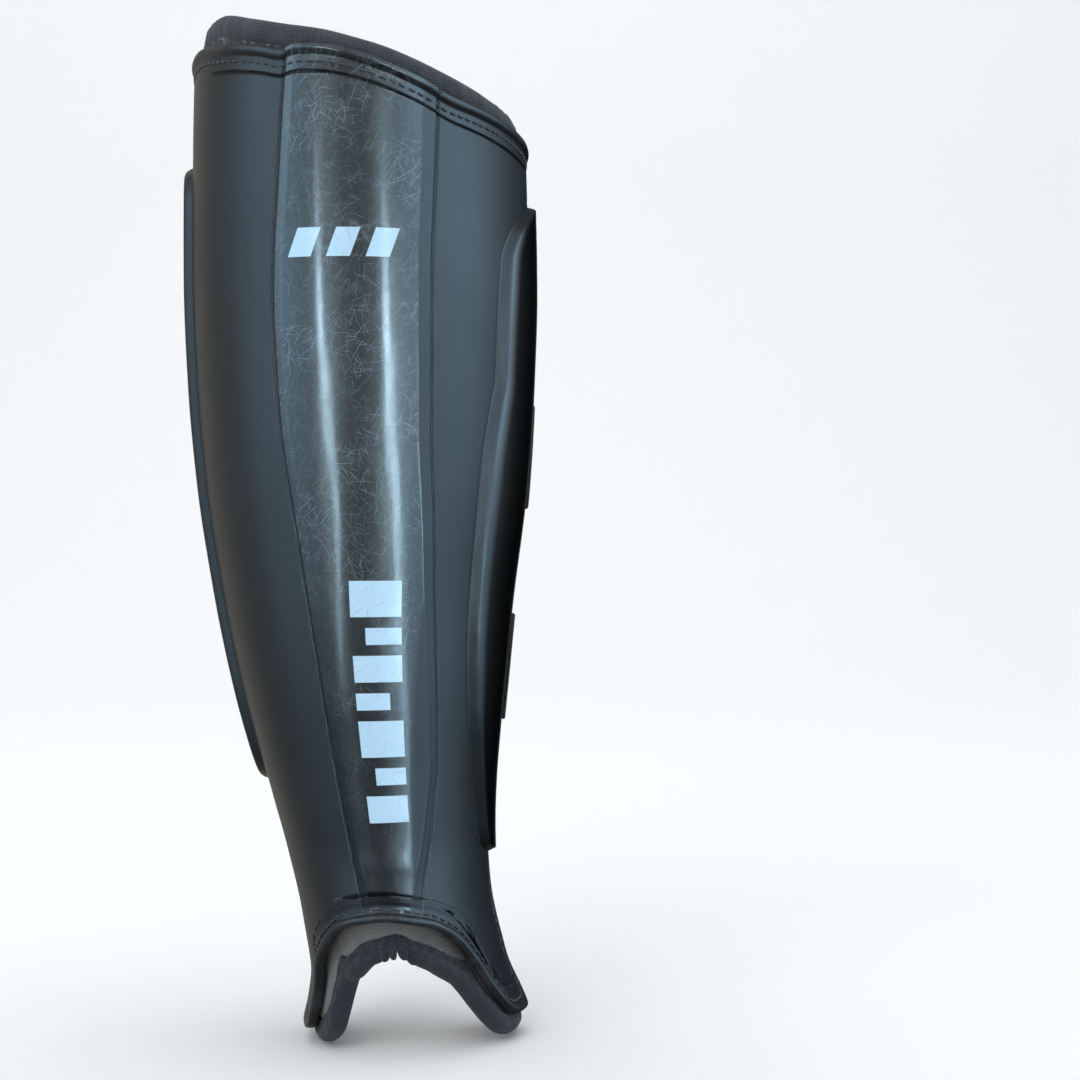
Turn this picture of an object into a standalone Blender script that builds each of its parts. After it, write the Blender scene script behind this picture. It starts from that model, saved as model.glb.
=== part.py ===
"""Shin guard for one leg: a hard moulded shell over a foam core and a bound fabric liner, held by two straps.

Metres, +Z up the shin, the front faces -Y. The guard is worn on a leg whose axis is the Z axis at calf height.
Every layer is an offset of one base surface, given by an angle round the leg (0 at the front, positive
towards +X, in degrees) and a height. The origin is on the leg's axis, near the height of the ankle tips.
"""

import math

import bmesh
import bpy
from mathutils import Vector

# Sections of the base surface: height, centre x, half width, centre y, depth from the centre to the front.
SECTIONS = (
    (-0.013, 0.0238, 0.0398, -0.0200, 0.0580),
    (0.001, 0.0206, 0.0356, -0.0200, 0.0540),
    (0.009, 0.0185, 0.0329, -0.0198, 0.0515),
    (0.021, 0.0162, 0.0298, -0.0192, 0.0490),
    (0.037, 0.0128, 0.0293, -0.0180, 0.0470),
    (0.055, 0.0099, 0.0309, -0.0165, 0.0460),
    (0.072, 0.0074, 0.0335, -0.0145, 0.0475),
    (0.104, 0.0038, 0.0397, -0.0100, 0.0520),
    (0.135, 0.0017, 0.0449, -0.0050, 0.0570),
    (0.167, 0.0009, 0.0497, -0.0015, 0.0605),
    (0.200, 0.0004, 0.0525, 0.0000, 0.0620),
    (0.232, 0.0002, 0.0536, 0.0000, 0.0622),
    (0.277, -0.0002, 0.0530, 0.0000, 0.0630),
    (0.322, -0.0004, 0.0515, 0.0000, 0.0650),
)

# Rims as angle, height.
SHELL_TOP = ((-120, 0.2985), (-63, 0.3002), (-48, 0.2984), (-36, 0.2965), (-26, 0.2945), (-19.5, 0.2929),
             (-14, 0.2936), (-5, 0.2931), (2, 0.2920), (11, 0.2898), (20, 0.2870), (30, 0.2836),
             (37, 0.2813), (48, 0.2798), (73, 0.2772), (120, 0.2740))
SHELL_BOTTOM = ((-120, 0.0120), (-85, 0.0030), (-72, 0.0027), (-64, 0.0052), (-60, 0.0125), (-55, 0.0228),
                (-46, 0.0288), (-33, 0.0349), (-26, 0.0374), (-12, 0.0396), (0, 0.0404), (8, 0.0401),
                (17, 0.0392), (27, 0.0378), (36, 0.0351), (43, 0.0318), (49, 0.0273), (55, 0.0218),
                (60, 0.0163), (64, 0.0119), (69, 0.0082), (75, 0.0066), (90, 0.0055), (120, 0.0120))
FOAM_BOTTOM = ((-120, 0.0370), (-38, 0.0390), (5, 0.0440), (37, 0.0420), (120, 0.0370))
LINER_TOP = ((-120, 0.3050), (-80, 0.3080), (-64, 0.3092), (-54, 0.3084), (-38, 0.3044), (-21, 0.3004),
             (-6, 0.2978), (4, 0.2957), (15, 0.2935), (26, 0.2909), (38, 0.2882), (50, 0.2861),
             (63, 0.2844), (82, 0.2834), (120, 0.2820))
LINER_BOTTOM = ((-120, 0.0090), (-85, 0.0008), (-68, 0.0008), (-57, 0.0041), (-53, 0.0066), (-50, 0.0104),
                (-46, 0.0168), (-41, 0.0208), (-34, 0.0230), (-21, 0.0275), (-10, 0.0294), (9, 0.0313),
                (19, 0.0296), (30, 0.0277), (41, 0.0241), (48, 0.0215), (53, 0.0184), (58, 0.0132),
                (62, 0.0092), (68, 0.0061), (76, 0.0044), (90, 0.0038), (120, 0.0130))

# Lines on the surface as height, angle.
REAR_EDGE = ((0.000, 97), (0.030, 100), (0.060, 108), (0.090, 115.5), (0.125, 114.5), (0.160, 115),
             (0.200, 117), (0.235, 117.5), (0.300, 113))
PANEL_LATERAL_FOOT = ((0.040, -10.8), (0.080, -12.6), (0.112, -14.0), (0.146, -17.2), (0.185, -22.0),
                      (0.220, -23.2), (0.264, -20.5), (0.297, -17.8))
PANEL_MEDIAL_FOOT = ((0.040, 22.0), (0.050, 25.2), (0.066, 32.5), (0.085, 36.6), (0.112, 35.2),
                     (0.148, 32.2), (0.184, 29.2), (0.228, 28.6), (0.258, 30.2), (0.290, 32.5))
LATERAL_STEP_FOOT = ((0.068, 112), (0.074, 96), (0.079, 82), (0.088, 75.5), (0.110, 74), (0.255, 74),
                     (0.264, 77), (0.270, 88), (0.275, 112))
MEDIAL_STEP_FOOT = ((0.048, 112), (0.053, 90), (0.058, 71), (0.069, 64.8), (0.085, 58.8), (0.102, 54),
                    (0.128, 50.8), (0.158, 50.4), (0.175, 51.2), (0.191, 54.0), (0.200, 56.0),
                    (0.216, 56.2), (0.236, 58.2), (0.245, 64.0), (0.252, 76), (0.258, 92), (0.262, 112))

# Shell
SHELL_WALL = 0.0022
PANEL_RAISE = 0.0010
PANEL_BEVEL_LATERAL = 3.8
PANEL_BEVEL_MEDIAL = 5.0
SIDE_RAISE = 0.0028
SIDE_BEVEL = 3.4
LEAST_SIDE_PANEL = 3.0
SHELL_TOP_CORNER = 0.014
SHELL_BOTTOM_CORNER = 0.010
STRAP_ZONE = 14.0
TOP_LIP = ((0.0, 0.0009), (0.0026, 0.0009), (0.0036, -0.0002), (0.0066, -0.0002), (0.0076, 0.0))
BOTTOM_LIP = ((0.0, 0.0009), (0.0020, 0.0009), (0.0028, -0.0002), (0.0056, -0.0002), (0.0076, 0.0))
PANEL_FADE_FROM, PANEL_FADE_OVER = 0.044, 0.012
SHELL_ROWS = 18
SHELL_SPANS = (1, 1, 3, 1, 8, 1, 5, 1, 7, 1, 4, 1, 1)

# Layers inside the shell: offset of the outer face from the base surface, and thickness.
GAP = 0.0003
EDGE_GAP = 0.0020
FOAM_FACE = -0.0038
FOAM_THICK = 0.0021
FOAM_INSET = 0.011
LINER_FACE = -0.0066
LINER_THICK = 0.0038
LINING_GAP = 0.0009
LINING_FACE = LINER_FACE - LINER_THICK - LINING_GAP
LINING_THICK = 0.0008
BINDING_FACE = -0.0061
BINDING_THICK = 0.0060
BINDING_WIDTH = 0.0075
LINER_CORNER = 0.0115
LINER_OVERHANG = 0.0010
PAD_INSET = BINDING_WIDTH + EDGE_GAP - LINER_OVERHANG

# Past the ends of the foam core, the liner moves out to lie against the shell.
TUCK = 0.0030
TUCK_LOW_FROM, TUCK_LOW_OVER = 0.040, 0.028
TUCK_TOP_OVER = 0.010
TUCK_ROW = 0.006

# Stitching along the shell's rim
TOP_THREAD_INSET, BOTTOM_THREAD_INSET, REAR_THREAD_INSET = 0.0049, 0.0036, 0.0032
REAR_THREAD_MARGIN = 0.014
THREAD_WIDTH = 0.0010
THREAD_FACE = 0.0016
THREAD_THICK = 0.0004

# Printed films on the centre panel: angle at the middle, height at the middle, width, height.
FILM_FACE = PANEL_RAISE + 0.0005
FILM_THICK = 0.0002
UPPER_PRINT = (0.6, 0.2365, 0.034, 0.010)
LOWER_PRINT = (10.2, 0.1035, 0.0145, 0.0700)

# Straps
STRAP_WIDTH = 0.034
STRAP_THICK = 0.0012
STRAP_HEIGHTS = {"upper": 0.178, "lower": 0.110}
STRAP_BOW = 0.010
HINGE_BEHIND = 0.0042
HINGE_GAP = 0.0010
ANCHOR_FACE = 0.0031
ANCHOR_LENGTH = 12.0
TAB_FACE = 0.0046
TAB_REACH = 13.5
HOOK_FACE = 0.0028
HOOK_THICK = 0.0016
HOOK_REACH = 7.0
LOOP_FACE = 0.0009
LOOP_THICK = 0.0006
LOOP_REACH = 7.4
PATCH_MARGIN, PATCH_SHY = 5.0, 0.002

# Colours (linear), roughness
BLACK_SHELL = ((0.010, 0.011, 0.013, 1), 0.24)
FOAM_BLACK = ((0.020, 0.020, 0.021, 1), 0.90)
LINER_GREY = ((0.130, 0.135, 0.140, 1), 0.92)
LINING_BLACK = ((0.016, 0.016, 0.018, 1), 0.95)
BINDING_BLACK = ((0.014, 0.015, 0.018, 1), 0.85)
THREAD_BLACK = ((0.012, 0.012, 0.013, 1), 0.70)
STRAP_BLACK = ((0.015, 0.015, 0.017, 1), 0.88)
HOOK_BLACK = ((0.018, 0.018, 0.018, 1), 0.60)
PRINT_BLUE = ((0.47, 0.70, 0.89, 1), 0.45)


def through(stations, x, column=1):
    """A smooth value at x that never overshoots its stations."""
    last = len(stations) - 1
    x = min(max(x, stations[0][0]), stations[last][0])
    i = 0
    while i < last - 1 and x > stations[i + 1][0]:
        i += 1

    def rise(k):
        run = stations[k + 1][0] - stations[k][0]
        return (stations[k + 1][column] - stations[k][column]) / run

    def slope(k):
        if k in (0, last):
            return rise(min(k, last - 1))
        before, after = rise(k - 1), rise(k)
        return 0.0 if before * after <= 0 else 2 * before * after / (before + after)

    run = stations[i + 1][0] - stations[i][0]
    t = (x - stations[i][0]) / run
    start, end = stations[i][column], stations[i + 1][column]
    bend = (t**3 - 2 * t**2 + t) * slope(i) + (t**3 - t**2) * slope(i + 1)
    return start + (3 * t**2 - 2 * t**3) * (end - start) + bend * run


def base_point(angle, height):
    centre_x, half_width, centre_y, depth = (through(SECTIONS, height, k) for k in range(1, 5))
    turn = math.radians(angle)
    return Vector((centre_x + half_width * math.sin(turn), centre_y - depth * math.cos(turn), height))


def skin_point(angle, height, offset=0.0):
    """A point on the base surface, moved out along the surface's normal."""
    across = base_point(angle + 0.1, height) - base_point(angle - 0.1, height)
    up = base_point(angle, height + 0.0002) - base_point(angle, height - 0.0002)
    return base_point(angle, height) + offset * across.cross(up).normalized()


def degrees_of(length, height):
    """The angle that an arc of this length covers at the sides of the guard."""
    return math.degrees(length / through(SECTIONS, height, 4))


def rim_slope(rim, angle):
    """Height to climb from a rim's sloping edge for one unit of distance square to it."""
    ahead = through(rim, angle + 1.5)
    behind = through(rim, angle - 1.5)
    height = (ahead + behind) / 2
    run = math.radians(3) * (through(SECTIONS, height, 2) + through(SECTIONS, height, 4)) / 2
    return min(math.hypot(1, (ahead - behind) / run), 1.8)


def rear_angle(height):
    return through(REAR_EDGE, height)


def eased(t):
    """0 to 1 with soft ends."""
    t = min(max(t, 0.0), 1.0)
    return t * t * (3 - 2 * t)


def tucked(face, angle, height):
    """The offset of a liner layer, moved out past the ends of the foam core."""
    low = (TUCK_LOW_FROM - height) / TUCK_LOW_OVER
    high = (height - through(SHELL_TOP, angle) + TUCK_TOP_OVER) / TUCK_TOP_OVER
    return face + TUCK * (eased(low) + eased(high))


def material(name, finish):
    """A plain Principled material."""
    found = bpy.data.materials.get(name)
    if found:
        return found
    made = bpy.data.materials.new(name)
    made.use_nodes = True
    shader = made.node_tree.nodes["Principled BSDF"]
    shader.inputs["Base Color"].default_value = finish[0]
    shader.inputs["Roughness"].default_value = finish[1]
    shader.inputs["Metallic"].default_value = 0.0
    return made


def grid_object(name, spans, rows, place, thickness, finish, side=-1):
    """A grid whose corners go where place(column, row) says, thickened inwards (side -1) or both ways (0)."""
    mesh = bpy.data.meshes.new(name)
    grid = bmesh.new()
    bmesh.ops.create_grid(grid, x_segments=spans, y_segments=rows, size=1)
    for vertex in grid.verts:
        column = round((vertex.co.x + 1) / 2 * spans)
        row = round((vertex.co.y + 1) / 2 * rows)
        vertex.co = place(column, row)
    grid.to_mesh(mesh)
    grid.free()
    mesh.shade_smooth()
    made = bpy.data.objects.new(name, mesh)
    parts.objects.link(made)
    mesh.materials.append(material(name, finish))
    wall = made.modifiers.new("Wall", "SOLIDIFY")
    wall.thickness = thickness
    wall.offset = side
    return made


def corner_cut(distance, radius):
    """How far a rounded corner has moved in from the straight edge, at this distance from its end."""
    if distance >= radius:
        return 0.0
    return radius - math.sqrt(max(radius**2 - (radius - distance) ** 2, 0.0))


class Outline:
    """A four-sided patch of the surface with rounded rear corners, shrunk by an inset on every side."""

    def __init__(self, top, bottom, corner_top, corner_bottom, inset=0.0):
        self.top = top
        self.bottom = bottom
        self.corner_top = max(corner_top - inset, 0.0005)
        self.corner_bottom = max(corner_bottom - inset, 0.0005)
        self.inset = inset

    def height(self, angle, share, extra):
        """Share 0 is the bottom rim and 1 the top one; extra is measured square to a rim that slopes."""
        low = through(self.bottom, angle) + self.inset * rim_slope(self.bottom, angle)
        high = through(self.top, angle) - self.inset * rim_slope(self.top, angle)
        if extra:
            extra *= rim_slope(self.top if share else self.bottom, angle)
        return low + (high - low) * share + extra

    def reach(self, side, share, extra):
        """The angle of the rear edge in this row, always positive."""
        angle = 100 * side
        for _ in range(3):
            low = self.height(angle, 0, 0)
            high = self.height(angle, 1, 0)
            height = self.height(angle, share, extra)
            cut = corner_cut(high - height, self.corner_top) + corner_cut(height - low, self.corner_bottom)
            reach = rear_angle(height) - degrees_of(self.inset + cut, height)
            angle = reach * side
        return reach


def even_rows(count, inset_rows=()):
    """Rows as share, extra: rows at set distances from both rims, and even ones between."""
    rows = [(0, distance) for distance in inset_rows]
    margin = 1 / (count * 2) if inset_rows else 0
    rows += [(margin + (1 - 2 * margin) * k / (count - 1), 0) for k in range(count)]
    rows += [(1, -distance) for distance in reversed(inset_rows)]
    return rows


def round_rows(count, radius):
    """Rows for a plain layer: closer together at both ends, where its corners are rounded and it bends."""
    ends = [radius * (1 - math.cos(math.pi / 2 * k / 3)) for k in range(3)]
    return even_rows(count, ends + [TUCK_ROW])


def side_breaks(side, edge, height, foot_line):
    """Angles from the rear edge to the foot of the side panel's step, always positive, and its raise."""
    flange = edge - STRAP_ZONE * min(1.0, max(0.25, (edge - 60) / 50))
    foot = min(through(foot_line, height), flange - LEAST_SIDE_PANEL)
    span = flange - foot
    bevel = min(SIDE_BEVEL, 0.35 * span)
    lift = SIDE_RAISE * min(1.0, max(0.0, (span - LEAST_SIDE_PANEL) / (2 * SIDE_BEVEL)))
    marks = (edge, flange, flange - bevel, foot + bevel, foot)
    return [mark * side for mark in marks], (0.0, 0.0, lift, lift, 0.0)


def lip_relief(profile, distance):
    """The bead and the stitch channel along the shell's rim."""
    for (near, low), (far, high) in zip(profile, profile[1:]):
        if distance <= far:
            return low + (high - low) * (distance - near) / (far - near)
    return 0.0


def shell_row(outline, share, extra):
    """The angles, heights and reliefs of one row of the shell, from the lateral rear edge to the medial one."""
    marks, lifts = [], []
    for side, foot_line in ((-1, LATERAL_STEP_FOOT), (1, MEDIAL_STEP_FOOT)):
        edge = outline.reach(side, share, extra)
        height = outline.height(80 * side, share, extra)
        for _ in range(3):
            angles, raises = side_breaks(side, edge, height, foot_line)
            height = outline.height(angles[-1], share, extra)
        marks.append(angles)
        lifts.append(raises)
    middle = outline.height(8, share, extra)
    fade = min(1.0, max(0.0, (middle - PANEL_FADE_FROM) / PANEL_FADE_OVER))
    foot_a = through(PANEL_LATERAL_FOOT, middle)
    foot_b = through(PANEL_MEDIAL_FOOT, middle)
    panel = [foot_a, foot_a + PANEL_BEVEL_LATERAL, foot_b - PANEL_BEVEL_MEDIAL, foot_b]
    raised = [0.0, PANEL_RAISE * fade, PANEL_RAISE * fade, 0.0]
    breaks = marks[0] + panel + marks[1][::-1]
    lift = list(lifts[0]) + raised + list(lifts[1])[::-1]
    points = []
    for k, spans in enumerate(SHELL_SPANS):
        for step in range(spans):
            t = step / spans
            points.append((breaks[k] + (breaks[k + 1] - breaks[k]) * t, lift[k] + (lift[k + 1] - lift[k]) * t))
    points.append((breaks[-1], lift[-1]))
    return points


def outer_shell():
    outline = Outline(SHELL_TOP, SHELL_BOTTOM, SHELL_TOP_CORNER, SHELL_BOTTOM_CORNER)
    rows = even_rows(SHELL_ROWS, [distance for distance, _ in TOP_LIP])
    table = [shell_row(outline, share, extra) for share, extra in rows]

    def place(column, row):
        share, extra = rows[row]
        angle, lift = table[row][column]
        height = outline.height(angle, share, extra)
        below = (height - outline.height(angle, 0, 0)) / rim_slope(SHELL_BOTTOM, angle)
        above = outline.height(angle, 1, 0) - height
        lip = lip_relief(BOTTOM_LIP, below) if below < above else lip_relief(TOP_LIP, above)
        return skin_point(angle, height, lift + lip)

    return grid_object("outer_shell", sum(SHELL_SPANS), len(rows) - 1, place, SHELL_WALL, BLACK_SHELL)


def layer(name, outline, columns, count, face, thickness, finish):
    """A plain sheet that follows the base surface."""
    is_core = outline.bottom is FOAM_BOTTOM
    rows = round_rows(count, outline.corner_top)

    def place(column, row):
        share, extra = rows[row]
        across = 2 * column / columns - 1
        side = 1 if across > 0 else -1
        angle = across * outline.reach(side, share, extra)
        height = outline.height(angle, share, extra)
        return skin_point(angle, height, face if is_core else tucked(face, angle, height))

    return grid_object(name, columns, len(rows) - 1, place, thickness, finish)


def rounded(obj, width):
    """Rounds an object's long edges."""
    bevel = obj.modifiers.new("Rounded", "BEVEL")
    bevel.width = width
    bevel.segments = 1
    bevel.limit_method = "ANGLE"
    bevel.angle_limit = math.radians(50)
    return obj


def rim_binding(name, at_top):
    """The tape round the liner's top or bottom rim, both corners included."""
    outline = Outline(LINER_TOP, LINER_BOTTOM, LINER_CORNER, LINER_CORNER, -LINER_OVERHANG)
    radius = outline.corner_top
    corner_steps, rim_steps = 4, 36
    columns = 2 * corner_steps + rim_steps
    share, sign = (1, -1) if at_top else (0, 1)

    def place(column, row):
        inward = BINDING_WIDTH * (1 - row if at_top else row)
        if column < corner_steps or column > columns - corner_steps:
            side = -1 if column < corner_steps else 1
            step = column if side < 0 else columns - column
            turn = math.pi / 2 * step / corner_steps
            aside = radius - (radius - inward) * math.cos(turn)
            down = radius - (radius - inward) * math.sin(turn)
            edge = rear_angle(outline.height(105 * side, share, sign * radius))
            angle = side * (edge - degrees_of(outline.inset + aside, outline.height(105 * side, share, 0)))
        else:
            across = 2 * (column - corner_steps) / rim_steps - 1
            side = 1 if across > 0 else -1
            edge = rear_angle(outline.height(105 * side, share, sign * radius))
            end = edge - degrees_of(outline.inset + radius, outline.height(105 * side, share, 0))
            angle, down = across * end, inward
        height = outline.height(angle, share, sign * down)
        return skin_point(angle, height, tucked(BINDING_FACE, angle, height))

    return rounded(grid_object(name, columns, 1, place, BINDING_THICK, BINDING_BLACK), 0.0014)


def side_binding(name, side):
    """The tape down one rear edge of the liner, between the two rim bindings."""
    outline = Outline(LINER_TOP, LINER_BOTTOM, LINER_CORNER, LINER_CORNER, -LINER_OVERHANG)
    steps = 14
    radius = outline.corner_top + GAP

    def place(column, row):
        angle = side * 112
        for _ in range(3):
            low = outline.height(angle, 0, radius)
            high = outline.height(angle, 1, -radius)
            height = low + (high - low) * row / steps
            inward = BINDING_WIDTH * (column if side < 0 else 1 - column)
            angle = side * (rear_angle(height) - degrees_of(outline.inset + inward, height))
        return skin_point(angle, height, tucked(BINDING_FACE, angle, height))

    return rounded(grid_object(name, 1, steps, place, BINDING_THICK, BINDING_BLACK), 0.0014)


def rim_stitching(name, at_top):
    """The thread row in the channel along the shell's top or bottom rim."""
    outline = Outline(SHELL_TOP, SHELL_BOTTOM, SHELL_TOP_CORNER, SHELL_BOTTOM_CORNER)
    steps = 32
    share, sign, inset = (1, -1, TOP_THREAD_INSET) if at_top else (0, 1, BOTTOM_THREAD_INSET)

    def place(column, row):
        inward = inset + THREAD_WIDTH * (row - 0.5) * sign
        across = 2 * column / steps - 1
        angle = across * (88 if at_top else 80)
        return skin_point(angle, outline.height(angle, share, sign * inward), THREAD_FACE)

    return grid_object(name, steps, 1, place, THREAD_THICK, THREAD_BLACK)


def rear_stitching(name, side):
    """The thread row down one rear edge of the shell."""
    outline = Outline(SHELL_TOP, SHELL_BOTTOM, SHELL_TOP_CORNER, SHELL_BOTTOM_CORNER)
    steps = 20

    def place(column, row):
        angle = side * 110
        for _ in range(3):
            low = outline.height(angle, 0, REAR_THREAD_MARGIN)
            high = outline.height(angle, 1, -REAR_THREAD_MARGIN)
            height = low + (high - low) * row / steps
            inward = REAR_THREAD_INSET + THREAD_WIDTH * (column - 0.5) * -side
            angle = side * (rear_angle(height) - degrees_of(inward, height))
        return skin_point(angle, height, THREAD_FACE + GAP)

    return grid_object(name, 1, steps, place, THREAD_THICK, THREAD_BLACK)


def film(name, middle_angle, middle_height, width, height):
    """A printed film on the centre panel."""
    steps = 6
    rows = max(2, round(height / 0.008))
    half = math.degrees(width / 2 / through(SECTIONS, middle_height, 2))

    def place(column, row):
        angle = middle_angle + half * (2 * column / steps - 1)
        return skin_point(angle, middle_height + height * (row / rows - 0.5), FILM_FACE)

    return grid_object(name, steps, rows, place, FILM_THICK, PRINT_BLUE)


def hinge_line(level, side):
    """Where the strap turns about a vertical line, just behind the guard's rear edge."""
    middle = STRAP_HEIGHTS[level]
    top = middle + STRAP_WIDTH / 2
    furthest = skin_point(side * rear_angle(top), top)
    beside = skin_point(side * rear_angle(middle), middle, ANCHOR_FACE)
    return Vector((beside.x, furthest.y + HINGE_BEHIND, middle))


def wrap_point(level, side, along, across, reach, face):
    """A ribbon that leaves the hinge line and lies on the outer wall: along 0 at the hinge, 1 at its end."""
    height = STRAP_HEIGHTS[level] + across * STRAP_WIDTH / 2
    pivot = hinge_line(level, side)
    start = Vector((pivot.x + side * 0.0006, pivot.y - HINGE_GAP, height))
    edge = side * rear_angle(height)
    landing = skin_point(edge - side * 1.5, height, face)
    before = skin_point(edge - side * 0.5, height, face)
    free_share = 0.4
    if along < free_share:
        t = along / free_share
        bend = landing + (before - landing) * 6
        return start * (1 - t) ** 2 + bend * 2 * t * (1 - t) + landing * t**2
    t = (along - free_share) / (1 - free_share)
    return skin_point(edge - side * (1.5 + (reach - 1.5) * t), height, face)


def ribbon(name, place_at, steps, rows, thickness, finish):
    """A strap: place_at(along 0 to 1, across -1 to 1)."""
    return grid_object(
        name, steps, rows, lambda c, r: place_at(c / steps, 2 * r / rows - 1), thickness, finish, side=0
    )


def strap_band(level):
    """The elastic band across the back, between its two hinge lines."""
    start = hinge_line(level, -1)
    end = hinge_line(level, 1)
    run = end - start
    length = run.length
    ahead = run / length
    back = Vector((-ahead.y, ahead.x, 0))

    def place(along, across):
        distance = HINGE_GAP + (length - 2 * HINGE_GAP) * along
        bow = STRAP_BOW * math.sin(math.pi * along)
        lift = Vector((0, 0, across * STRAP_WIDTH / 2))
        return start + ahead * distance + back * bow + lift

    return ribbon(f"{level}_strap_band", place, 16, 1, STRAP_THICK, STRAP_BLACK)


def wall_patch(name, level, side, reach, face, thickness, finish):
    """A flat patch on the outer wall, inside the outline of the ribbon that covers it."""
    def place(column, row):
        height = STRAP_HEIGHTS[level] + (row - 1) * (STRAP_WIDTH / 2 - PATCH_SHY)
        edge = rear_angle(height) - PATCH_MARGIN
        share = column / 3 if side > 0 else 1 - column / 3
        return skin_point(side * (edge - reach * (1 - share)), height, face)

    return grid_object(name, 3, 2, place, thickness, finish)


def strap(level):
    """The anchor, band, tab, hook pad and loop patch of one strap."""
    ribbon(
        f"{level}_strap_anchor",
        lambda along, across: wrap_point(level, -1, along, across, ANCHOR_LENGTH, ANCHOR_FACE),
        10, 2, STRAP_THICK, STRAP_BLACK,
    )
    band = strap_band(level)
    tab = ribbon(
        f"{level}_strap_tab",
        lambda along, across: wrap_point(level, 1, along, across, TAB_REACH, TAB_FACE - STRAP_THICK / 2),
        12, 2, STRAP_THICK, STRAP_BLACK,
    )
    hook = wall_patch(f"{level}_hook_pad", level, 1, HOOK_REACH, HOOK_FACE, HOOK_THICK, HOOK_BLACK)
    wall_patch(f"{level}_loop_patch", level, 1, LOOP_REACH, LOOP_FACE, LOOP_THICK, LINING_BLACK)
    swing = pivot_at(f"{level}_strap_swing", hinge_line(level, -1))
    peel = pivot_at(f"{level}_tab_peel", hinge_line(level, 1))
    for child, pivot in ((band, swing), (peel, swing), (tab, peel), (hook, peel)):
        child.parent = pivot
        child.matrix_parent_inverse = pivot.matrix_world.inverted()


def pivot_at(name, place):
    """An empty on a joint's axis."""
    made = bpy.data.objects.new(name, None)
    made.location = place
    made.empty_display_size = 0.02
    parts.objects.link(made)
    bpy.context.view_layer.update()
    return made


def clear_scene():
    for obj in list(bpy.data.objects):
        bpy.data.objects.remove(obj)


clear_scene()
parts = bpy.data.collections.new("shin_guard")
bpy.context.scene.collection.children.link(parts)

outer_shell()
layer("foam_core", Outline(SHELL_TOP, FOAM_BOTTOM, SHELL_TOP_CORNER, SHELL_BOTTOM_CORNER, FOAM_INSET),
      20, 13, FOAM_FACE, FOAM_THICK, FOAM_BLACK)
pad = Outline(LINER_TOP, LINER_BOTTOM, LINER_CORNER, LINER_CORNER, PAD_INSET)
layer("liner_pad", pad, 24, 13, LINER_FACE, LINER_THICK, LINER_GREY)
layer("lining_fabric", pad, 24, 13, LINING_FACE, LINING_THICK, LINING_BLACK)
rim_binding("top_binding", True)
rim_binding("bottom_binding", False)
side_binding("lateral_binding", -1)
side_binding("medial_binding", 1)
rim_stitching("top_stitching", True)
rim_stitching("bottom_stitching", False)
rear_stitching("lateral_stitching", -1)
rear_stitching("medial_stitching", 1)
film("upper_print", *UPPER_PRINT)
film("lower_print", *LOWER_PRINT)
strap("upper")
strap("lower")
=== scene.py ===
"""The shin guard's looks: shell, padded liner, bound rims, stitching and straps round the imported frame.

Metres, +Z up the shin, the front faces -Y. The surface tables and layer offsets are the part's own
driving dimensions.
"""

import math

import bmesh
import bpy
import numpy as np
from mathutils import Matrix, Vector


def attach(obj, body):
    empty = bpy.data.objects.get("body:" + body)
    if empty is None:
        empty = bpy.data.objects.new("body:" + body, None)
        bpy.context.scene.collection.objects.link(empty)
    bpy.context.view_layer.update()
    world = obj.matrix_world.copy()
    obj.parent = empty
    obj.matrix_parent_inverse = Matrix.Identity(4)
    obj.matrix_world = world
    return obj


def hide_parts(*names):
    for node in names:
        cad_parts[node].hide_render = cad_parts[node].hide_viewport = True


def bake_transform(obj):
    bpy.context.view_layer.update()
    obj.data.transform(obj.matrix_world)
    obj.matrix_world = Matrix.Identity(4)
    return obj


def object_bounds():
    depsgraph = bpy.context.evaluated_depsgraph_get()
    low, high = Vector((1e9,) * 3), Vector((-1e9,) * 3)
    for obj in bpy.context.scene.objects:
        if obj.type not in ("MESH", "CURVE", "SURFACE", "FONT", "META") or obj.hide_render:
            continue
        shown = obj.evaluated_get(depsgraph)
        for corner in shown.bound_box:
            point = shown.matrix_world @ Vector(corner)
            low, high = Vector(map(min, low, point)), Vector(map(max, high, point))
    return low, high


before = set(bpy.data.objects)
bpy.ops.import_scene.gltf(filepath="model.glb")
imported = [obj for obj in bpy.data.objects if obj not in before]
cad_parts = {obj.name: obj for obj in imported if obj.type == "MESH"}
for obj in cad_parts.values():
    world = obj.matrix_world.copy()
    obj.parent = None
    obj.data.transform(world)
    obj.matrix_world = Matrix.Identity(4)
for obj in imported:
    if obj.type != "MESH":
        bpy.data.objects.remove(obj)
CAD_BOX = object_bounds()

# Sections of the base surface: height, centre x, half width, centre y, depth from the centre to the front.
SECTIONS = (
    (-0.013, 0.0238, 0.0398, -0.0200, 0.0580),
    (0.001, 0.0206, 0.0356, -0.0200, 0.0540),
    (0.009, 0.0185, 0.0329, -0.0198, 0.0515),
    (0.021, 0.0162, 0.0298, -0.0192, 0.0490),
    (0.037, 0.0128, 0.0293, -0.0180, 0.0470),
    (0.055, 0.0099, 0.0309, -0.0165, 0.0460),
    (0.072, 0.0074, 0.0335, -0.0145, 0.0475),
    (0.104, 0.0038, 0.0397, -0.0100, 0.0520),
    (0.135, 0.0017, 0.0449, -0.0050, 0.0570),
    (0.167, 0.0009, 0.0497, -0.0015, 0.0605),
    (0.200, 0.0004, 0.0525, 0.0000, 0.0620),
    (0.232, 0.0002, 0.0536, 0.0000, 0.0622),
    (0.277, -0.0002, 0.0530, 0.0000, 0.0630),
    (0.322, -0.0004, 0.0515, 0.0000, 0.0650),
)

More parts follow.
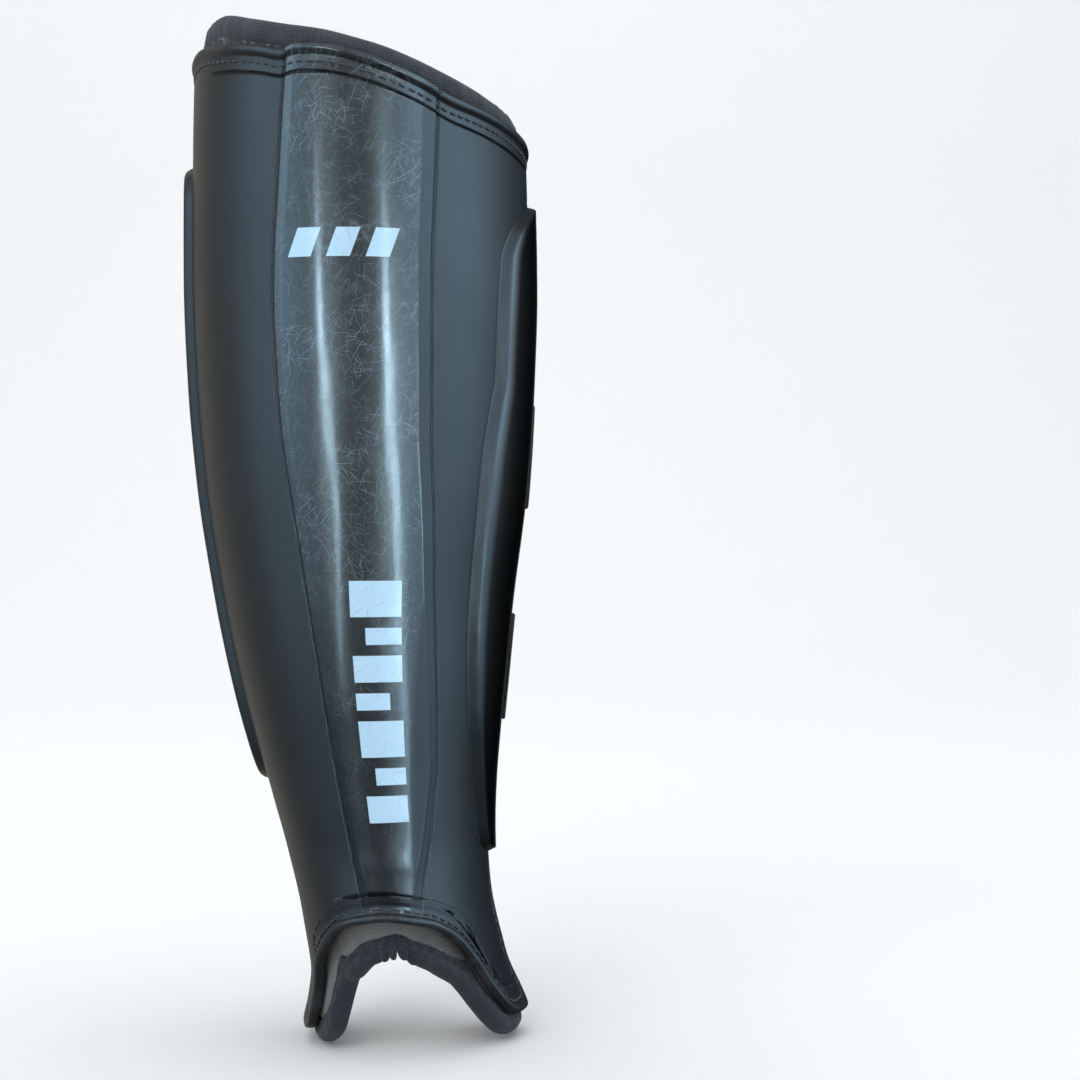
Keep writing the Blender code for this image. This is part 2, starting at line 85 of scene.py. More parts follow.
# Rims as angle, height.
SHELL_TOP = ((-120, 0.2985), (-63, 0.3002), (-48, 0.2984), (-36, 0.2965), (-26, 0.2945), (-19.5, 0.2929),
             (-14, 0.2936), (-5, 0.2931), (2, 0.2920), (11, 0.2898), (20, 0.2870), (30, 0.2836),
             (37, 0.2813), (48, 0.2798), (73, 0.2772), (120, 0.2740))
SHELL_BOTTOM = ((-120, 0.0120), (-85, 0.0030), (-72, 0.0027), (-64, 0.0052), (-60, 0.0125), (-55, 0.0228),
                (-46, 0.0288), (-33, 0.0349), (-26, 0.0374), (-12, 0.0396), (0, 0.0404), (8, 0.0401),
                (17, 0.0392), (27, 0.0378), (36, 0.0351), (43, 0.0318), (49, 0.0273), (55, 0.0218),
                (60, 0.0163), (64, 0.0119), (69, 0.0082), (75, 0.0066), (90, 0.0055), (120, 0.0120))
FOAM_BOTTOM = ((-120, 0.0370), (-38, 0.0390), (5, 0.0440), (37, 0.0420), (120, 0.0370))
LINER_TOP = ((-120, 0.3050), (-80, 0.3080), (-64, 0.3092), (-54, 0.3084), (-38, 0.3044), (-21, 0.3004),
             (-6, 0.2978), (4, 0.2957), (15, 0.2935), (26, 0.2909), (38, 0.2882), (50, 0.2861),
             (63, 0.2844), (82, 0.2834), (120, 0.2820))
LINER_BOTTOM = ((-120, 0.0090), (-85, 0.0008), (-68, 0.0008), (-57, 0.0041), (-53, 0.0066), (-50, 0.0104),
                (-46, 0.0168), (-41, 0.0208), (-34, 0.0230), (-21, 0.0275), (-10, 0.0294), (9, 0.0313),
                (19, 0.0296), (30, 0.0277), (41, 0.0241), (48, 0.0215), (53, 0.0184), (58, 0.0132),
                (62, 0.0092), (68, 0.0061), (76, 0.0044), (90, 0.0038), (120, 0.0130))

# Lines on the surface as height, angle.
REAR_EDGE = ((0.000, 97), (0.030, 100), (0.060, 108), (0.090, 115.5), (0.125, 114.5), (0.160, 115),
             (0.200, 117), (0.235, 117.5), (0.300, 113))
PANEL_LATERAL_FOOT = ((0.040, -10.8), (0.080, -12.6), (0.112, -14.0), (0.146, -17.2), (0.185, -22.0),
                      (0.220, -23.2), (0.264, -20.5), (0.297, -17.8))
PANEL_MEDIAL_FOOT = ((0.040, 22.0), (0.050, 25.2), (0.066, 32.5), (0.085, 36.6), (0.112, 35.2),
                     (0.148, 32.2), (0.184, 29.2), (0.228, 28.6), (0.258, 30.2), (0.290, 32.5))
LATERAL_STEP_FOOT = ((0.068, 112), (0.074, 96), (0.079, 82), (0.088, 75.5), (0.110, 74), (0.255, 74),
                     (0.264, 77), (0.270, 88), (0.275, 112))
MEDIAL_STEP_FOOT = ((0.048, 112), (0.053, 90), (0.058, 71), (0.069, 64.8), (0.085, 58.8), (0.102, 54),
                    (0.128, 50.8), (0.158, 50.4), (0.175, 51.2), (0.191, 54.0), (0.200, 56.0),
                    (0.216, 56.2), (0.236, 58.2), (0.245, 64.0), (0.252, 76), (0.258, 92), (0.262, 112))

# Shell
SHELL_WALL = 0.0022
PANEL_RAISE = 0.0010
PANEL_BEVEL_LATERAL = 3.8
PANEL_BEVEL_MEDIAL = 5.0
PANEL_FADE_FROM, PANEL_FADE_OVER = 0.044, 0.012
SIDE_RAISE = 0.0028
SIDE_BEVEL = 3.4
LEAST_SIDE_PANEL = 3.0
SHELL_TOP_CORNER = 0.014
SHELL_BOTTOM_CORNER = 0.010
STRAP_ZONE = 14.0
GROOVE_DEPTH, GROOVE_WIDTH = 0.00042, 0.00042
RIDGE_RISE, RIDGE_WIDTH = 0.00012, 0.00035
STEP_GROOVE_DEPTH, STEP_GROOVE_WIDTH, LEAST_SIDE_RAISE = 0.00022, 0.0004, 0.0004
TOP_LIP = dict(bead=0.0025, proud=0.0009, channel=0.0070)
BOTTOM_LIP = dict(bead=0.0020, proud=0.0009, channel=0.0060)
CHANNEL_DEPTH = 0.00024
TOP_THREAD_INSET, BOTTOM_THREAD_INSET, REAR_THREAD_INSET = 0.0049, 0.0033, 0.0040
PANEL_RIM_STEP = 0.0004
RIM_BULGE = 0.0007
# Where the panel's gloss ends on its medial side, as height, angle.
GLOSS_EDGE = ((0.040, 18.0), (0.080, 23.5), (0.120, 27.0), (0.160, 40.0))

# Layers inside the shell: offset of the outer face from the base surface, and thickness.
FOAM_FACE, FOAM_THICK, FOAM_INSET = -0.0038, 0.0021, 0.011
LINER_FACE, LINER_THICK = -0.0066, 0.0038
LINING_FACE, LINING_THICK = -0.0113, 0.0008
BINDING_FACE = -0.0061
LINER_CORNER, LINER_OVERHANG = 0.0115, 0.0010
TAPE_SEAM, TAPE_SEAM_DEPTH = 0.0052, 0.0004
TOP_TAPE_WIDER, ANKLE_TAPE_NARROWER = 1.35, 0.82
PAD_INSET = 0.0045
TUCK = 0.0030
TUCK_LOW_FROM, TUCK_LOW_OVER = 0.040, 0.028
TUCK_TOP_OVER = 0.010

# Prints on the centre panel: angle at the middle, height at the middle, width, height.
PRINT_FACE = PANEL_RAISE + 0.00012
PRINT_THICK = 0.00006
UPPER_PRINT = (0.6, 0.2365, 0.034, 0.010)
LOWER_PRINT = (10.2, 0.1035, 0.0145, 0.0700)

# Straps
STRAP_WIDTH, STRAP_THICK, STRAP_BOW = 0.034, 0.0012, 0.010
STRAP_HEIGHTS = {"upper": 0.178, "lower": 0.110}
HINGE_BEHIND, HINGE_GAP = 0.0042, 0.0010
ANCHOR_FACE, ANCHOR_LENGTH = 0.0031, 12.0
TAB_FACE, TAB_REACH = 0.0046, 13.5
HOOK_FACE, HOOK_THICK, HOOK_REACH = 0.0028, 0.0016, 7.0
LOOP_FACE, LOOP_THICK, LOOP_REACH = 0.0009, 0.0006, 7.4
PATCH_MARGIN, PATCH_SHY = 5.0, 0.002

# The camera and the stage
CAMERA_PLACE = (0.0574, -0.600, 0.1503)
CAMERA_LENS = 62.0
FLOOR_DROP = 0.0004

SIDES = (-1, 1)
LEAST_CORNER = 0.0005
# The radius that turns an angle on the shell into a width of texture.
UV_RADIUS = 0.055
# Angles either side that a rim's slope is read over, and the steepest slope that is followed.
SLOPE_REACH, STEEPEST_SLOPE = 1.5, 1.8
# Steps either side of a point that give the surface's normal there: degrees and metres.
ANGLE_STEP, HEIGHT_STEP = 0.1, 0.0002
# Angles near the rear edges: two first guesses, and where a rim's height is read for its corners.
REACH_GUESS, REAR_GUESS, CORNER_AT = 100.0, 112.0, 105


# ---------------------------------------------------------------- the base surface

def through(stations, x, column=1):
    """Smooth values at x that never overshoot their stations."""
    table = np.array(stations, float)
    places, values = table[:, 0], table[:, column]
    x = np.clip(np.asarray(x, float), places[0], places[-1])
    rise = np.diff(values) / np.diff(places)
    product, total = rise[:-1] * rise[1:], rise[:-1] + rise[1:]
    inner = np.where(product > 0, 2 * product / np.where(total == 0, 1, total), 0)
    slope = np.concatenate(([rise[0]], inner, [rise[-1]]))
    i = np.clip(np.searchsorted(places, x, side="left") - 1, 0, len(places) - 2)
    run = places[i + 1] - places[i]
    t = (x - places[i]) / run
    bend = (t**3 - 2 * t**2 + t) * slope[i] + (t**3 - t**2) * slope[i + 1]
    return values[i] + (3 * t**2 - 2 * t**3) * (values[i + 1] - values[i]) + bend * run


def base(angle, height):
    """Points on the base surface."""
    centre_x, half_width, centre_y, depth = (through(SECTIONS, height, k) for k in range(1, 5))
    turn = np.radians(angle)
    x = centre_x + half_width * np.sin(turn)
    y = centre_y - depth * np.cos(turn)
    return np.stack(np.broadcast_arrays(x, y, height), -1)


def skin(angle, height, offset=0.0):
    """Points on the base surface, moved out along its normal."""
    angle, height, offset = np.broadcast_arrays(*(np.asarray(v, float) for v in (angle, height, offset)))
    across = base(angle + ANGLE_STEP, height) - base(angle - ANGLE_STEP, height)
    up = base(angle, height + HEIGHT_STEP) - base(angle, height - HEIGHT_STEP)
    normal = np.cross(across, up)
    normal /= np.linalg.norm(normal, axis=-1, keepdims=True)
    return base(angle, height) + offset[..., None] * normal


def degrees_of(length, height):
    """The angle that an arc of this length covers at the sides of the guard."""
    return np.degrees(length / through(SECTIONS, height, 4))


def rim_slope(rim, angle):
    """Height to climb from a rim's sloping edge for one unit of distance square to it."""
    angle = np.asarray(angle, float)
    ahead, behind = through(rim, angle + SLOPE_REACH), through(rim, angle - SLOPE_REACH)
    height = (ahead + behind) / 2
    run = math.radians(2 * SLOPE_REACH) * (through(SECTIONS, height, 2) + through(SECTIONS, height, 4)) / 2
    return np.minimum(np.hypot(1, (ahead - behind) / run), STEEPEST_SLOPE)


def rear_angle(height):
    return through(REAR_EDGE, height)


def eased(t):
    """0 to 1 with soft ends."""
    t = np.clip(t, 0, 1)
    return t * t * (3 - 2 * t)


def hump(distance, width):
    return np.exp(-((distance / width) ** 2))


def tucked(face, angle, height):
    """The offset of a liner layer, moved out to the shell past the ends of the foam core."""
    low = (TUCK_LOW_FROM - height) / TUCK_LOW_OVER
    high = (height - through(SHELL_TOP, angle) + TUCK_TOP_OVER) / TUCK_TOP_OVER
    return face + TUCK * (eased(low) + eased(high))


def corner_cut(distance, radius):
    """How far a rounded corner has moved in from the straight edge, at this distance from its end."""
    inside = np.clip(radius - distance, 0, radius)
    return radius - np.sqrt(radius**2 - inside**2)


class Outline:
    """A four-sided patch of the surface with rounded rear corners, shrunk by an inset on every side."""

    def __init__(self, top, bottom, corner_top, corner_bottom, inset=0.0):
        self.top = top
        self.bottom = bottom
        self.corner_top = max(corner_top - inset, LEAST_CORNER)
        self.corner_bottom = max(corner_bottom - inset, LEAST_CORNER)
        self.inset = inset

    def height(self, angle, share, extra=0.0):
        """Share 0 is the bottom rim and 1 the top one; extra is measured square to a rim that slopes."""
        low = through(self.bottom, angle) + self.inset * rim_slope(self.bottom, angle)
        high = through(self.top, angle) - self.inset * rim_slope(self.top, angle)
        slope = np.where(np.asarray(share) > 0, rim_slope(self.top, angle), rim_slope(self.bottom, angle))
        return low + (high - low) * share + extra * slope

    def reach(self, side, share, extra=0.0):
        """The angle of the rear edge in a row, always positive."""
        angle = REACH_GUESS * side
        for _ in range(3):
            low, high = self.height(angle, 0), self.height(angle, 1)
            height = self.height(angle, share, extra)
            cut = corner_cut(high - height, self.corner_top) + corner_cut(height - low, self.corner_bottom)
            reach = rear_angle(height) - degrees_of(self.inset + cut, height)
            angle = reach * side
        return reach

    def from_edge(self, angle, height):
        """Distance from each point to the outline, and whether the top rim is nearest."""
        below = (height - self.height(angle, 0)) / rim_slope(self.bottom, angle)
        above = (self.height(angle, 1) - height) / rim_slope(self.top, angle)
        aside = np.radians(rear_angle(height) - np.abs(angle)) * through(SECTIONS, height, 4) - self.inset
        top = above < below
        near = np.where(top, above, below)
        radius = np.where(top, self.corner_top, self.corner_bottom)
        in_corner = (near < radius) & (aside < radius)
        round_it = radius - np.hypot(radius - near, radius - aside)
        return np.where(in_corner, round_it, np.minimum(near, aside)), top & (above < aside + radius)


SHELL_OUTLINE = Outline(SHELL_TOP, SHELL_BOTTOM, SHELL_TOP_CORNER, SHELL_BOTTOM_CORNER)
LINER_OUTLINE = Outline(LINER_TOP, LINER_BOTTOM, LINER_CORNER, LINER_CORNER, -LINER_OVERHANG)


def rim_line(outline, at_top, inward, count):
    """Angles and heights along a rim and its corners: a row for each place, a column for each distance in."""
    inward = np.atleast_1d(np.asarray(inward, float))[None]
    radius = outline.corner_top if at_top else outline.corner_bottom
    share, sign = (1, -1) if at_top else (0, 1)
    corner = max(6, count // 14)
    turn = np.linspace(0, math.pi / 2, corner, endpoint=False)[:, None]
    aside = radius - (radius - inward) * np.cos(turn)
    down = radius - (radius - inward) * np.sin(turn)
    ends, corners = {}, {}
    for side in SIDES:
        edge = rear_angle(outline.height(CORNER_AT * side, share, sign * radius))
        at_corner = outline.height(CORNER_AT * side, share)
        ends[side] = edge - degrees_of(outline.inset + radius, at_corner)
        angle = side * (edge - degrees_of(outline.inset + aside, at_corner))
        corners[side] = (angle, outline.height(angle, share, sign * down))
    run = np.linspace(-ends[-1], ends[1], count - 2 * corner)[:, None] + 0 * inward
    middle = (run, outline.height(run, share, sign * inward + 0 * run))
    last = [part[::-1] for part in corners[1]]
    return tuple(np.concatenate(parts) for parts in zip(corners[-1], middle, last))


def rear_line(outline, side, inward, count, clear):
    """Angles and heights up one rear edge, between its corners, at each inward distance."""
    inward = np.atleast_1d(np.asarray(inward, float))[None]
    share = np.linspace(0, 1, count)[:, None]
    angle = side * REAR_GUESS + 0 * share * inward
    for _ in range(3):
        low, high = outline.height(angle, 0, clear), outline.height(angle, 1, -clear)
        height = low + (high - low) * share
        angle = side * (rear_angle(height) - degrees_of(outline.inset + inward, height))
    return angle, height


# ---------------------------------------------------------------- meshes

def linked(name, mesh):
    made = bpy.data.objects.new(name, mesh)
    bpy.context.scene.collection.objects.link(made)
    return made


def surface(name, points, uv, wrap=False, values=None, merge=0.0):
    """A mesh of quads over points (rows, columns, 3). uv has one more column where the mesh wraps."""
    rows, columns = points.shape[:2]
    row = np.arange(rows - 1)[:, None]
    column = np.arange(columns if wrap else columns - 1)[None]
    beside = (column + 1) % columns
    corners = ((row, column, column), (row, beside, column + 1), (row + 1, beside, column + 1),
               (row + 1, column, column))
    quads = np.stack([(r * columns + c).reshape(-1) for r, c, _ in corners], -1)
    mesh = bpy.data.meshes.new(name)
    mesh.from_pydata(points.reshape(-1, 3).tolist(), [], quads.tolist())
    layer = mesh.uv_layers.new(name="surface")
    at = [np.broadcast_arrays(r, c) for r, _, c in corners]
    spread = np.stack([uv[r, c].reshape(-1, 2) for r, c in at], 1)
    layer.uv.foreach_set("vector", spread.astype(np.float32).ravel())
    for key, value in (values or {}).items():
        stored = mesh.attributes.new(key, "FLOAT", "POINT")
        stored.data.foreach_set("value", np.broadcast_to(value, (rows, columns)).astype(np.float32).ravel())
    work = bmesh.new()
    work.from_mesh(mesh)
    if merge:
        bmesh.ops.remove_doubles(work, verts=work.verts, dist=merge)
        bmesh.ops.dissolve_degenerate(work, edges=work.edges, dist=merge / 2)
    bmesh.ops.recalc_face_normals(work, faces=work.faces)
    work.to_mesh(mesh)
    work.free()
    mesh.shade_smooth()
    return linked(name, mesh)


def capped(sections):
    """Sections (count, loop, 3) with their first and last one shrunk to a point, so that the tube closes."""
    ends = [sections[k].mean(0) + 0 * sections[k] for k in (0, -1)]
    return np.concatenate(([ends[0]], sections, [ends[1]]))


def lengths(points):
    """Running length along the first axis."""
    steps = np.linalg.norm(np.diff(points, axis=0), axis=-1)
    return np.concatenate((np.zeros((1,) + steps.shape[1:]), np.cumsum(steps, 0)))


def tube(name, sections):
    """A closed tube over sections (count, loop, 3), with u along it and v round it, both in metres."""
    ringed = capped(sections)
    along = lengths(ringed).mean(1)
    closed = np.concatenate((ringed, ringed[:, :1]), 1)
    around_it = lengths(np.moveaxis(closed, 1, 0)).T
    uv = np.stack((np.broadcast_to(along[:, None], around_it.shape), around_it), -1)
    return surface(name, ringed, uv, wrap=True, merge=1e-7)


# ---------------------------------------------------------------- materials

class Graph:
    """A node tree, with short calls that add nodes and return their sockets."""

    def __init__(self, tree):
        self.tree = tree

    def node(self, kind, output=0, settings=None, **inputs):
        made = self.tree.nodes.new("ShaderNode" + kind)
        for key, value in (settings or {}).items():
            setattr(made, key, value)
        for key, value in inputs.items():
            key = int(key[1:]) if key[0] == "i" and key[1:].isdigit() else key.replace("_", " ")
            self.set(made.inputs[key], value)
        return made.outputs[output]

    def set(self, socket, value):
        if isinstance(value, bpy.types.NodeSocket):
            self.tree.links.new(value, socket)
        else:
            socket.default_value = value

    def math(self, operation, a, b=0.0, c=0.0):
        return self.node("Math", settings={"operation": operation}, i0=a, i1=b, i2=c)

    def times(self, first, *others):
        """The product of all its values."""
        for other in others:
            first = self.math("MULTIPLY", first, other)
        return first

    def split(self, vector):
        """The x, y and z of a vector."""
        made = self.tree.nodes.new("ShaderNodeSeparateXYZ")
        self.set(made.inputs[0], vector)
        return made.outputs

    def uv(self):
        return self.node("UVMap", settings={"uv_map": "surface"})

    def stored(self, name):
        return self.node("Attribute", "Fac", settings={"attribute_name": name})

    def noise(self, place, scale, detail=3.0, roughness=0.55):
        return self.node("TexNoise", "Fac", Vector=place, Scale=scale, Detail=detail, Roughness=roughness)

    def band(self, value, low, high, out_low=0.0, out_high=1.0):
        """value taken from low..high to out_low..out_high, smoothly and without overshoot."""
        return self.node("MapRange", settings={"interpolation_type": "SMOOTHSTEP"}, Value=value, From_Min=low,
                         From_Max=high, To_Min=out_low, To_Max=out_high)

    def mix(self, share, a, b):
        made = self.tree.nodes.new("ShaderNodeMix")
        made.data_type = "RGBA"
        for index, value in ((0, share), (6, a), (7, b)):
            self.set(made.inputs[index], value)
        return made.outputs[2]

    def stretch(self, place, by, turn=0.0):
        return self.node("Mapping", Vector=place, Scale=by, Rotation=(0, 0, turn))

    def bump(self, height, distance, strength=1.0, under=None):
        inputs = dict(Height=height, Distance=distance, Strength=strength)
        if under is not None:
            inputs["Normal"] = under
        return self.node("Bump", **inputs)


class Finish(Graph):
    """A procedural material."""

    def __init__(self, name, **constants):
        self.material = bpy.data.materials.new(name)
        self.material.use_nodes = True
        super().__init__(self.material.node_tree)
        self.shader = self.tree.nodes["Principled BSDF"]
        for key, value in constants.items():
            self.shader.inputs[key.replace("_", " ")].default_value = value

    def finish(self, colour=None, roughness=None, normal=None):
        for key, value in (("Base Color", colour), ("Roughness", roughness), ("Normal", normal)):
            if value is not None:
                self.set(self.shader.inputs[key], value)
        return self.material


# A scratch, in shares of its cell: how far it bows, where it starts to fade, and half its length.
BOW, FADE_FROM, HALF_LENGTH = 0.12, 0.35, 0.75
# The share of a scratch's half width that is at full strength, and how rare the strong ones are.
SOLID_CORE, RARITY = 0.25, 1.3


def hairlines(f, place, cell, width, lean, spread, seed):
    """Fine scratches, one in each cell of this side, at a random slant and strength."""
    scaled = f.node("Mapping", Vector=place, Scale=(1 / cell, 1 / cell, 1), Location=(seed, seed * 1.7, 0))
    cells = f.tree.nodes.new("ShaderNodeTexVoronoi")
    cells.voronoi_dimensions = "2D"
    cells.inputs["Scale"].default_value = 1.0
    f.tree.links.new(scaled, cells.inputs["Vector"])
    chance = f.tree.nodes.new("ShaderNodeSeparateColor")
    f.tree.links.new(cells.outputs["Color"], chance.inputs[0])
    here = f.node("VectorMath", settings={"operation": "SUBTRACT"}, i0=scaled, i1=cells.outputs["Position"])
    turn = f.math("MULTIPLY_ADD", chance.outputs[0], spread, lean - spread / 2)
    local = f.node("VectorRotate", settings={"rotation_type": "Z_AXIS"}, Vector=here, Angle=turn)
    along, aside, _ = f.split(local)
    bow = f.math("MULTIPLY_ADD", chance.outputs[1], 2 * BOW, -BOW)
    away = f.math("ABSOLUTE", f.math("ADD", aside, f.times(along, along, bow)))
    line = f.band(away, width / cell, SOLID_CORE * width / cell)
    reach = f.band(f.math("ABSOLUTE", along), HALF_LENGTH, FADE_FROM)
    return f.times(line, reach, f.math("POWER", chance.outputs[2], RARITY))


# Layers of hairline scratches: cell, line width, lean, spread of leans, seed.
HAIRLINES = (
    (0.0026, 0.00008, 0.3, 6.28, 1.3), (0.0031, 0.00008, 0.0, 6.28, 5.1), (0.0037, 0.00009, 1.0, 6.28, 9.7),
    (0.0045, 0.00009, 1.9, 1.2, 3.9), (0.0060, 0.00010, 2.2, 0.9, 7.7), (0.0080, 0.00010, 0.2, 6.28, 2.9),
    (0.0052, 0.00009, 0.3, 0.9, 11.2), (0.0034, 0.00008, 1.2, 2.2, 13.4), (0.0110, 0.00011, 2.6, 1.0, 19.1),
)


def shell_finish():
    """Black moulded plastic: glossy and scratched on the panel and side walls, satin between them."""
    f = Finish("black_moulded_plastic", Coat_Roughness=0.08, Coat_IOR=1.5, Specular_IOR_Level=0.42)
    uv = f.uv()
    gloss = f.stored("gloss")
    wear = f.stored("wear")
    rim = f.stored("rim")
    height = f.split(uv)[1]

    patches = f.band(f.noise(uv, 45, 4, 0.6), 0.40, 0.62)
    lines = None
    for cell, width, lean, spread, seed in HAIRLINES:
        made = hairlines(f, uv, cell, width, lean, spread, seed)
        lines = made if lines is None else f.math("MAXIMUM", lines, made)
    upper = f.band(height, 0.060, 0.200, 0.22, 1.0)
    scratch = f.times(lines, upper, f.band(patches, 0, 1, 0.30, 1.0), wear)
    rubbed = f.noise(f.stretch(uv, (1, 0.6, 1)), 150, 5, 0.75)
    haze = f.times(f.band(rubbed, 0.44, 0.74), f.band(height, 0.090, 0.220, 0.12, 1.0), wear)
    haze = f.times(haze, f.band(patches, 0, 1, 0.35, 1.0))

    cloud = f.noise(uv, 16, 3, 0.5)
    satin = f.mix(cloud, (0.0080, 0.0082, 0.0088, 1), (0.0105, 0.0115, 0.0135, 1))
    glossy = f.mix(haze, (0.0016, 0.0018, 0.0022, 1), (0.0300, 0.0350, 0.0410, 1))
    colour = f.mix(gloss, satin, glossy)
    colour = f.mix(f.times(scratch, 0.85), colour, (0.24, 0.29, 0.34, 1))
    side_scratch = f.times(hairlines(f, uv, 0.013, 0.00014, 0.4, 6.28, 17.0), 0.14)
    side_scratch = f.times(side_scratch, f.band(f.noise(uv, 22, 2), 0.5, 0.62))
    colour = f.mix(side_scratch, colour, (0.30, 0.32, 0.34, 1))
    specks = f.band(f.noise(uv, 900, 2, 0.6), 0.70, 0.78)
    colour = f.mix(f.times(specks, 0.10), colour, (0.20, 0.21, 0.22, 1))
    colour = f.mix(f.times(rim, f.band(f.noise(uv, 120, 3), 0.35, 0.75, 0.1, 0.6)), colour,
                   (0.050, 0.052, 0.056, 1))

    rough_satin = f.band(cloud, 0.3, 0.7, 0.40, 0.47)
    rough_gloss = f.math("MULTIPLY_ADD", haze, 0.10, 0.30)
    rough_gloss = f.math("MULTIPLY_ADD", scratch, 0.1, rough_gloss)
    rough = f.math("MULTIPLY_ADD", f.math("SUBTRACT", rough_gloss, rough_satin), gloss, rough_satin)

    waviness = f.bump(f.noise(f.stretch(uv, (1, 0.35, 1)), 30, 1, 0.4), 0.0006, 0.10)
    grain = f.bump(f.noise(uv, 2600, 2, 0.5), 0.00003, 0.4, waviness)
    scored = f.bump(scratch, 0.00003, 0.6, grain)
    f.set(f.shader.inputs["Coat Weight"], f.times(gloss, 0.40))
    f.set(f.shader.inputs["Coat Normal"], scored)
    return f.finish(colour, rough, scored)


def foam_finish():
    """Closed-cell foam: dark, matt and pitted."""
    f = Finish("closed_cell_foam", Roughness=0.92)
    uv = f.uv()
    pits = f.node("TexVoronoi", "Distance", Vector=uv, Scale=900)
    shade = f.mix(f.noise(uv, 700, 3), (0.014, 0.014, 0.015, 1), (0.032, 0.032, 0.034, 1))
    return f.finish(shade, None, f.bump(pits, 0.0003, 0.5))


def pad_finish():
    """Grey brushed knit over foam, with lighter and darker flecks."""
    f = Finish("grey_brushed_knit", Roughness=0.93, Sheen_Weight=0.25, Sheen_Roughness=0.5)
    uv = f.uv()
    fleck = f.noise(uv, 1500, 3, 0.7)
    soft = f.noise(uv, 90, 3)
    grey = f.mix(soft, (0.105, 0.104, 0.103, 1), (0.160, 0.158, 0.156, 1))
    grey = f.mix(f.band(fleck, 0.56, 0.70), grey, (0.38, 0.38, 0.38, 1))
    grey = f.mix(f.band(fleck, 0.42, 0.30), grey, (0.055, 0.052, 0.050, 1))
    return f.finish(grey, None, f.bump(fleck, 0.00025, 0.6))


def waves(f, place, pitch):
    return f.math("SINE", f.times(place, 2 * math.pi / pitch))


def weave(f, uv, across, along, turn=0.0):
    """Threads of a woven cloth: their height, from across and along pitches."""
    u, v, _ = f.split(f.stretch(uv, (1, 1, 1), turn))
    return f.math("MULTIPLY_ADD", f.times(waves(f, u, across), waves(f, v, along)), 0.5, 0.5)


def ribs(f, uv, pitch, turn=0.0):
    """Parallel ribs: their height."""
    across = f.split(f.stretch(uv, (1, 1, 1), turn))[0]
    return f.math("MULTIPLY_ADD", waves(f, across, pitch), 0.5, 0.5)


def ribbed_weave(f, uv):
    """Ribs across a tape, broken into threads."""
    threads = weave(f, uv, 0.00072, 0.00060)
    return f.times(ribs(f, uv, 0.00072, 0.10), f.math("MULTIPLY_ADD", threads, 0.6, 0.4))


def cloth_finish(name, pattern, dark, light, depth):
    """Woven cloth: a thread pattern with painted highlight on its crowns and painted shade in its hollows,
    uneven dye and a little lint.
    """
    f = Finish(name, Roughness=0.90, Sheen_Weight=0.12, Sheen_Roughness=0.4)
    uv = f.uv()
    height = pattern(f, uv)
    # The pattern's height picks the colour: painted shade where the threads dip, painted highlight where they
    # stand up.
    colour = f.mix(height, dark, light)
    lint = f.band(f.noise(uv, 1500, 2, 0.6), 0.62, 0.74)
    pale = tuple(min(1.0, 3.2 * c) for c in light[:3]) + (1,)
    colour = f.mix(f.times(lint, 0.35), colour, pale)
    uneven = f.noise(uv, 140, 3)
    colour = f.mix(f.band(uneven, 0.35, 0.7, 0.0, 0.35), colour, dark)
    return f.finish(colour, None, f.bump(f.math("ADD", height, f.times(lint, 0.5)), depth, 0.8))


def thread_finish():
    """Twisted polyester thread, with painted shade in the grooves of its twist."""
    f = Finish("twisted_thread", Roughness=0.55, Sheen_Weight=0.2)
    uv = f.uv()
    twist = ribs(f, uv, 0.0005, 0.8)
    # Painted shade in the twist's grooves, painted highlight on its ridges.
    shade = f.mix(twist, (0.005, 0.005, 0.006, 1), (0.030, 0.031, 0.034, 1))
    return f.finish(shade, None, f.bump(twist, 0.0001, 0.6))


def print_finish():
    """Pale blue screen print with a little wear."""
    f = Finish("pale_print", Coat_Weight=0.25, Coat_Roughness=0.15)
    uv = f.uv()
    worn = f.times(hairlines(f, uv, 0.0042, 0.00016, 0.6, 6.28, 5.1), 0.55)
    shade = f.mix(f.noise(uv, 120, 3), (0.43, 0.66, 0.86, 1), (0.50, 0.73, 0.92, 1))
    return f.finish(f.mix(worn, shade, (0.16, 0.24, 0.32, 1)), f.math("MULTIPLY_ADD", worn, 0.3, 0.42))


def hook_finish():
    """Hook tape: a field of tiny moulded hooks, painted lighter where they stand up, with painted shade
    between them.
    """
    f = Finish("hook_tape", Roughness=0.6)
    dots = f.node("TexVoronoi", "Distance", Vector=f.uv(), Scale=1300, Randomness=0.15)
    raised = f.band(dots, 0.5, 0.15)
    # Painted highlight on the raised hooks and painted shade between them.
    shade = f.mix(raised, (0.006, 0.006, 0.007, 1), (0.040, 0.040, 0.042, 1))
    return f.finish(shade, None, f.bump(raised, 0.0005, 0.9))


def loop_finish():
    """Loop tape: a matted pile."""
    f = Finish("loop_tape", Roughness=0.97, Sheen_Weight=0.3)
    uv = f.uv()
    pile = f.noise(uv, 1700, 4, 0.75)
    shade = f.mix(pile, (0.006, 0.006, 0.007, 1), (0.036, 0.037, 0.040, 1))
    return f.finish(shade, None, f.bump(pile, 0.0004, 0.8))


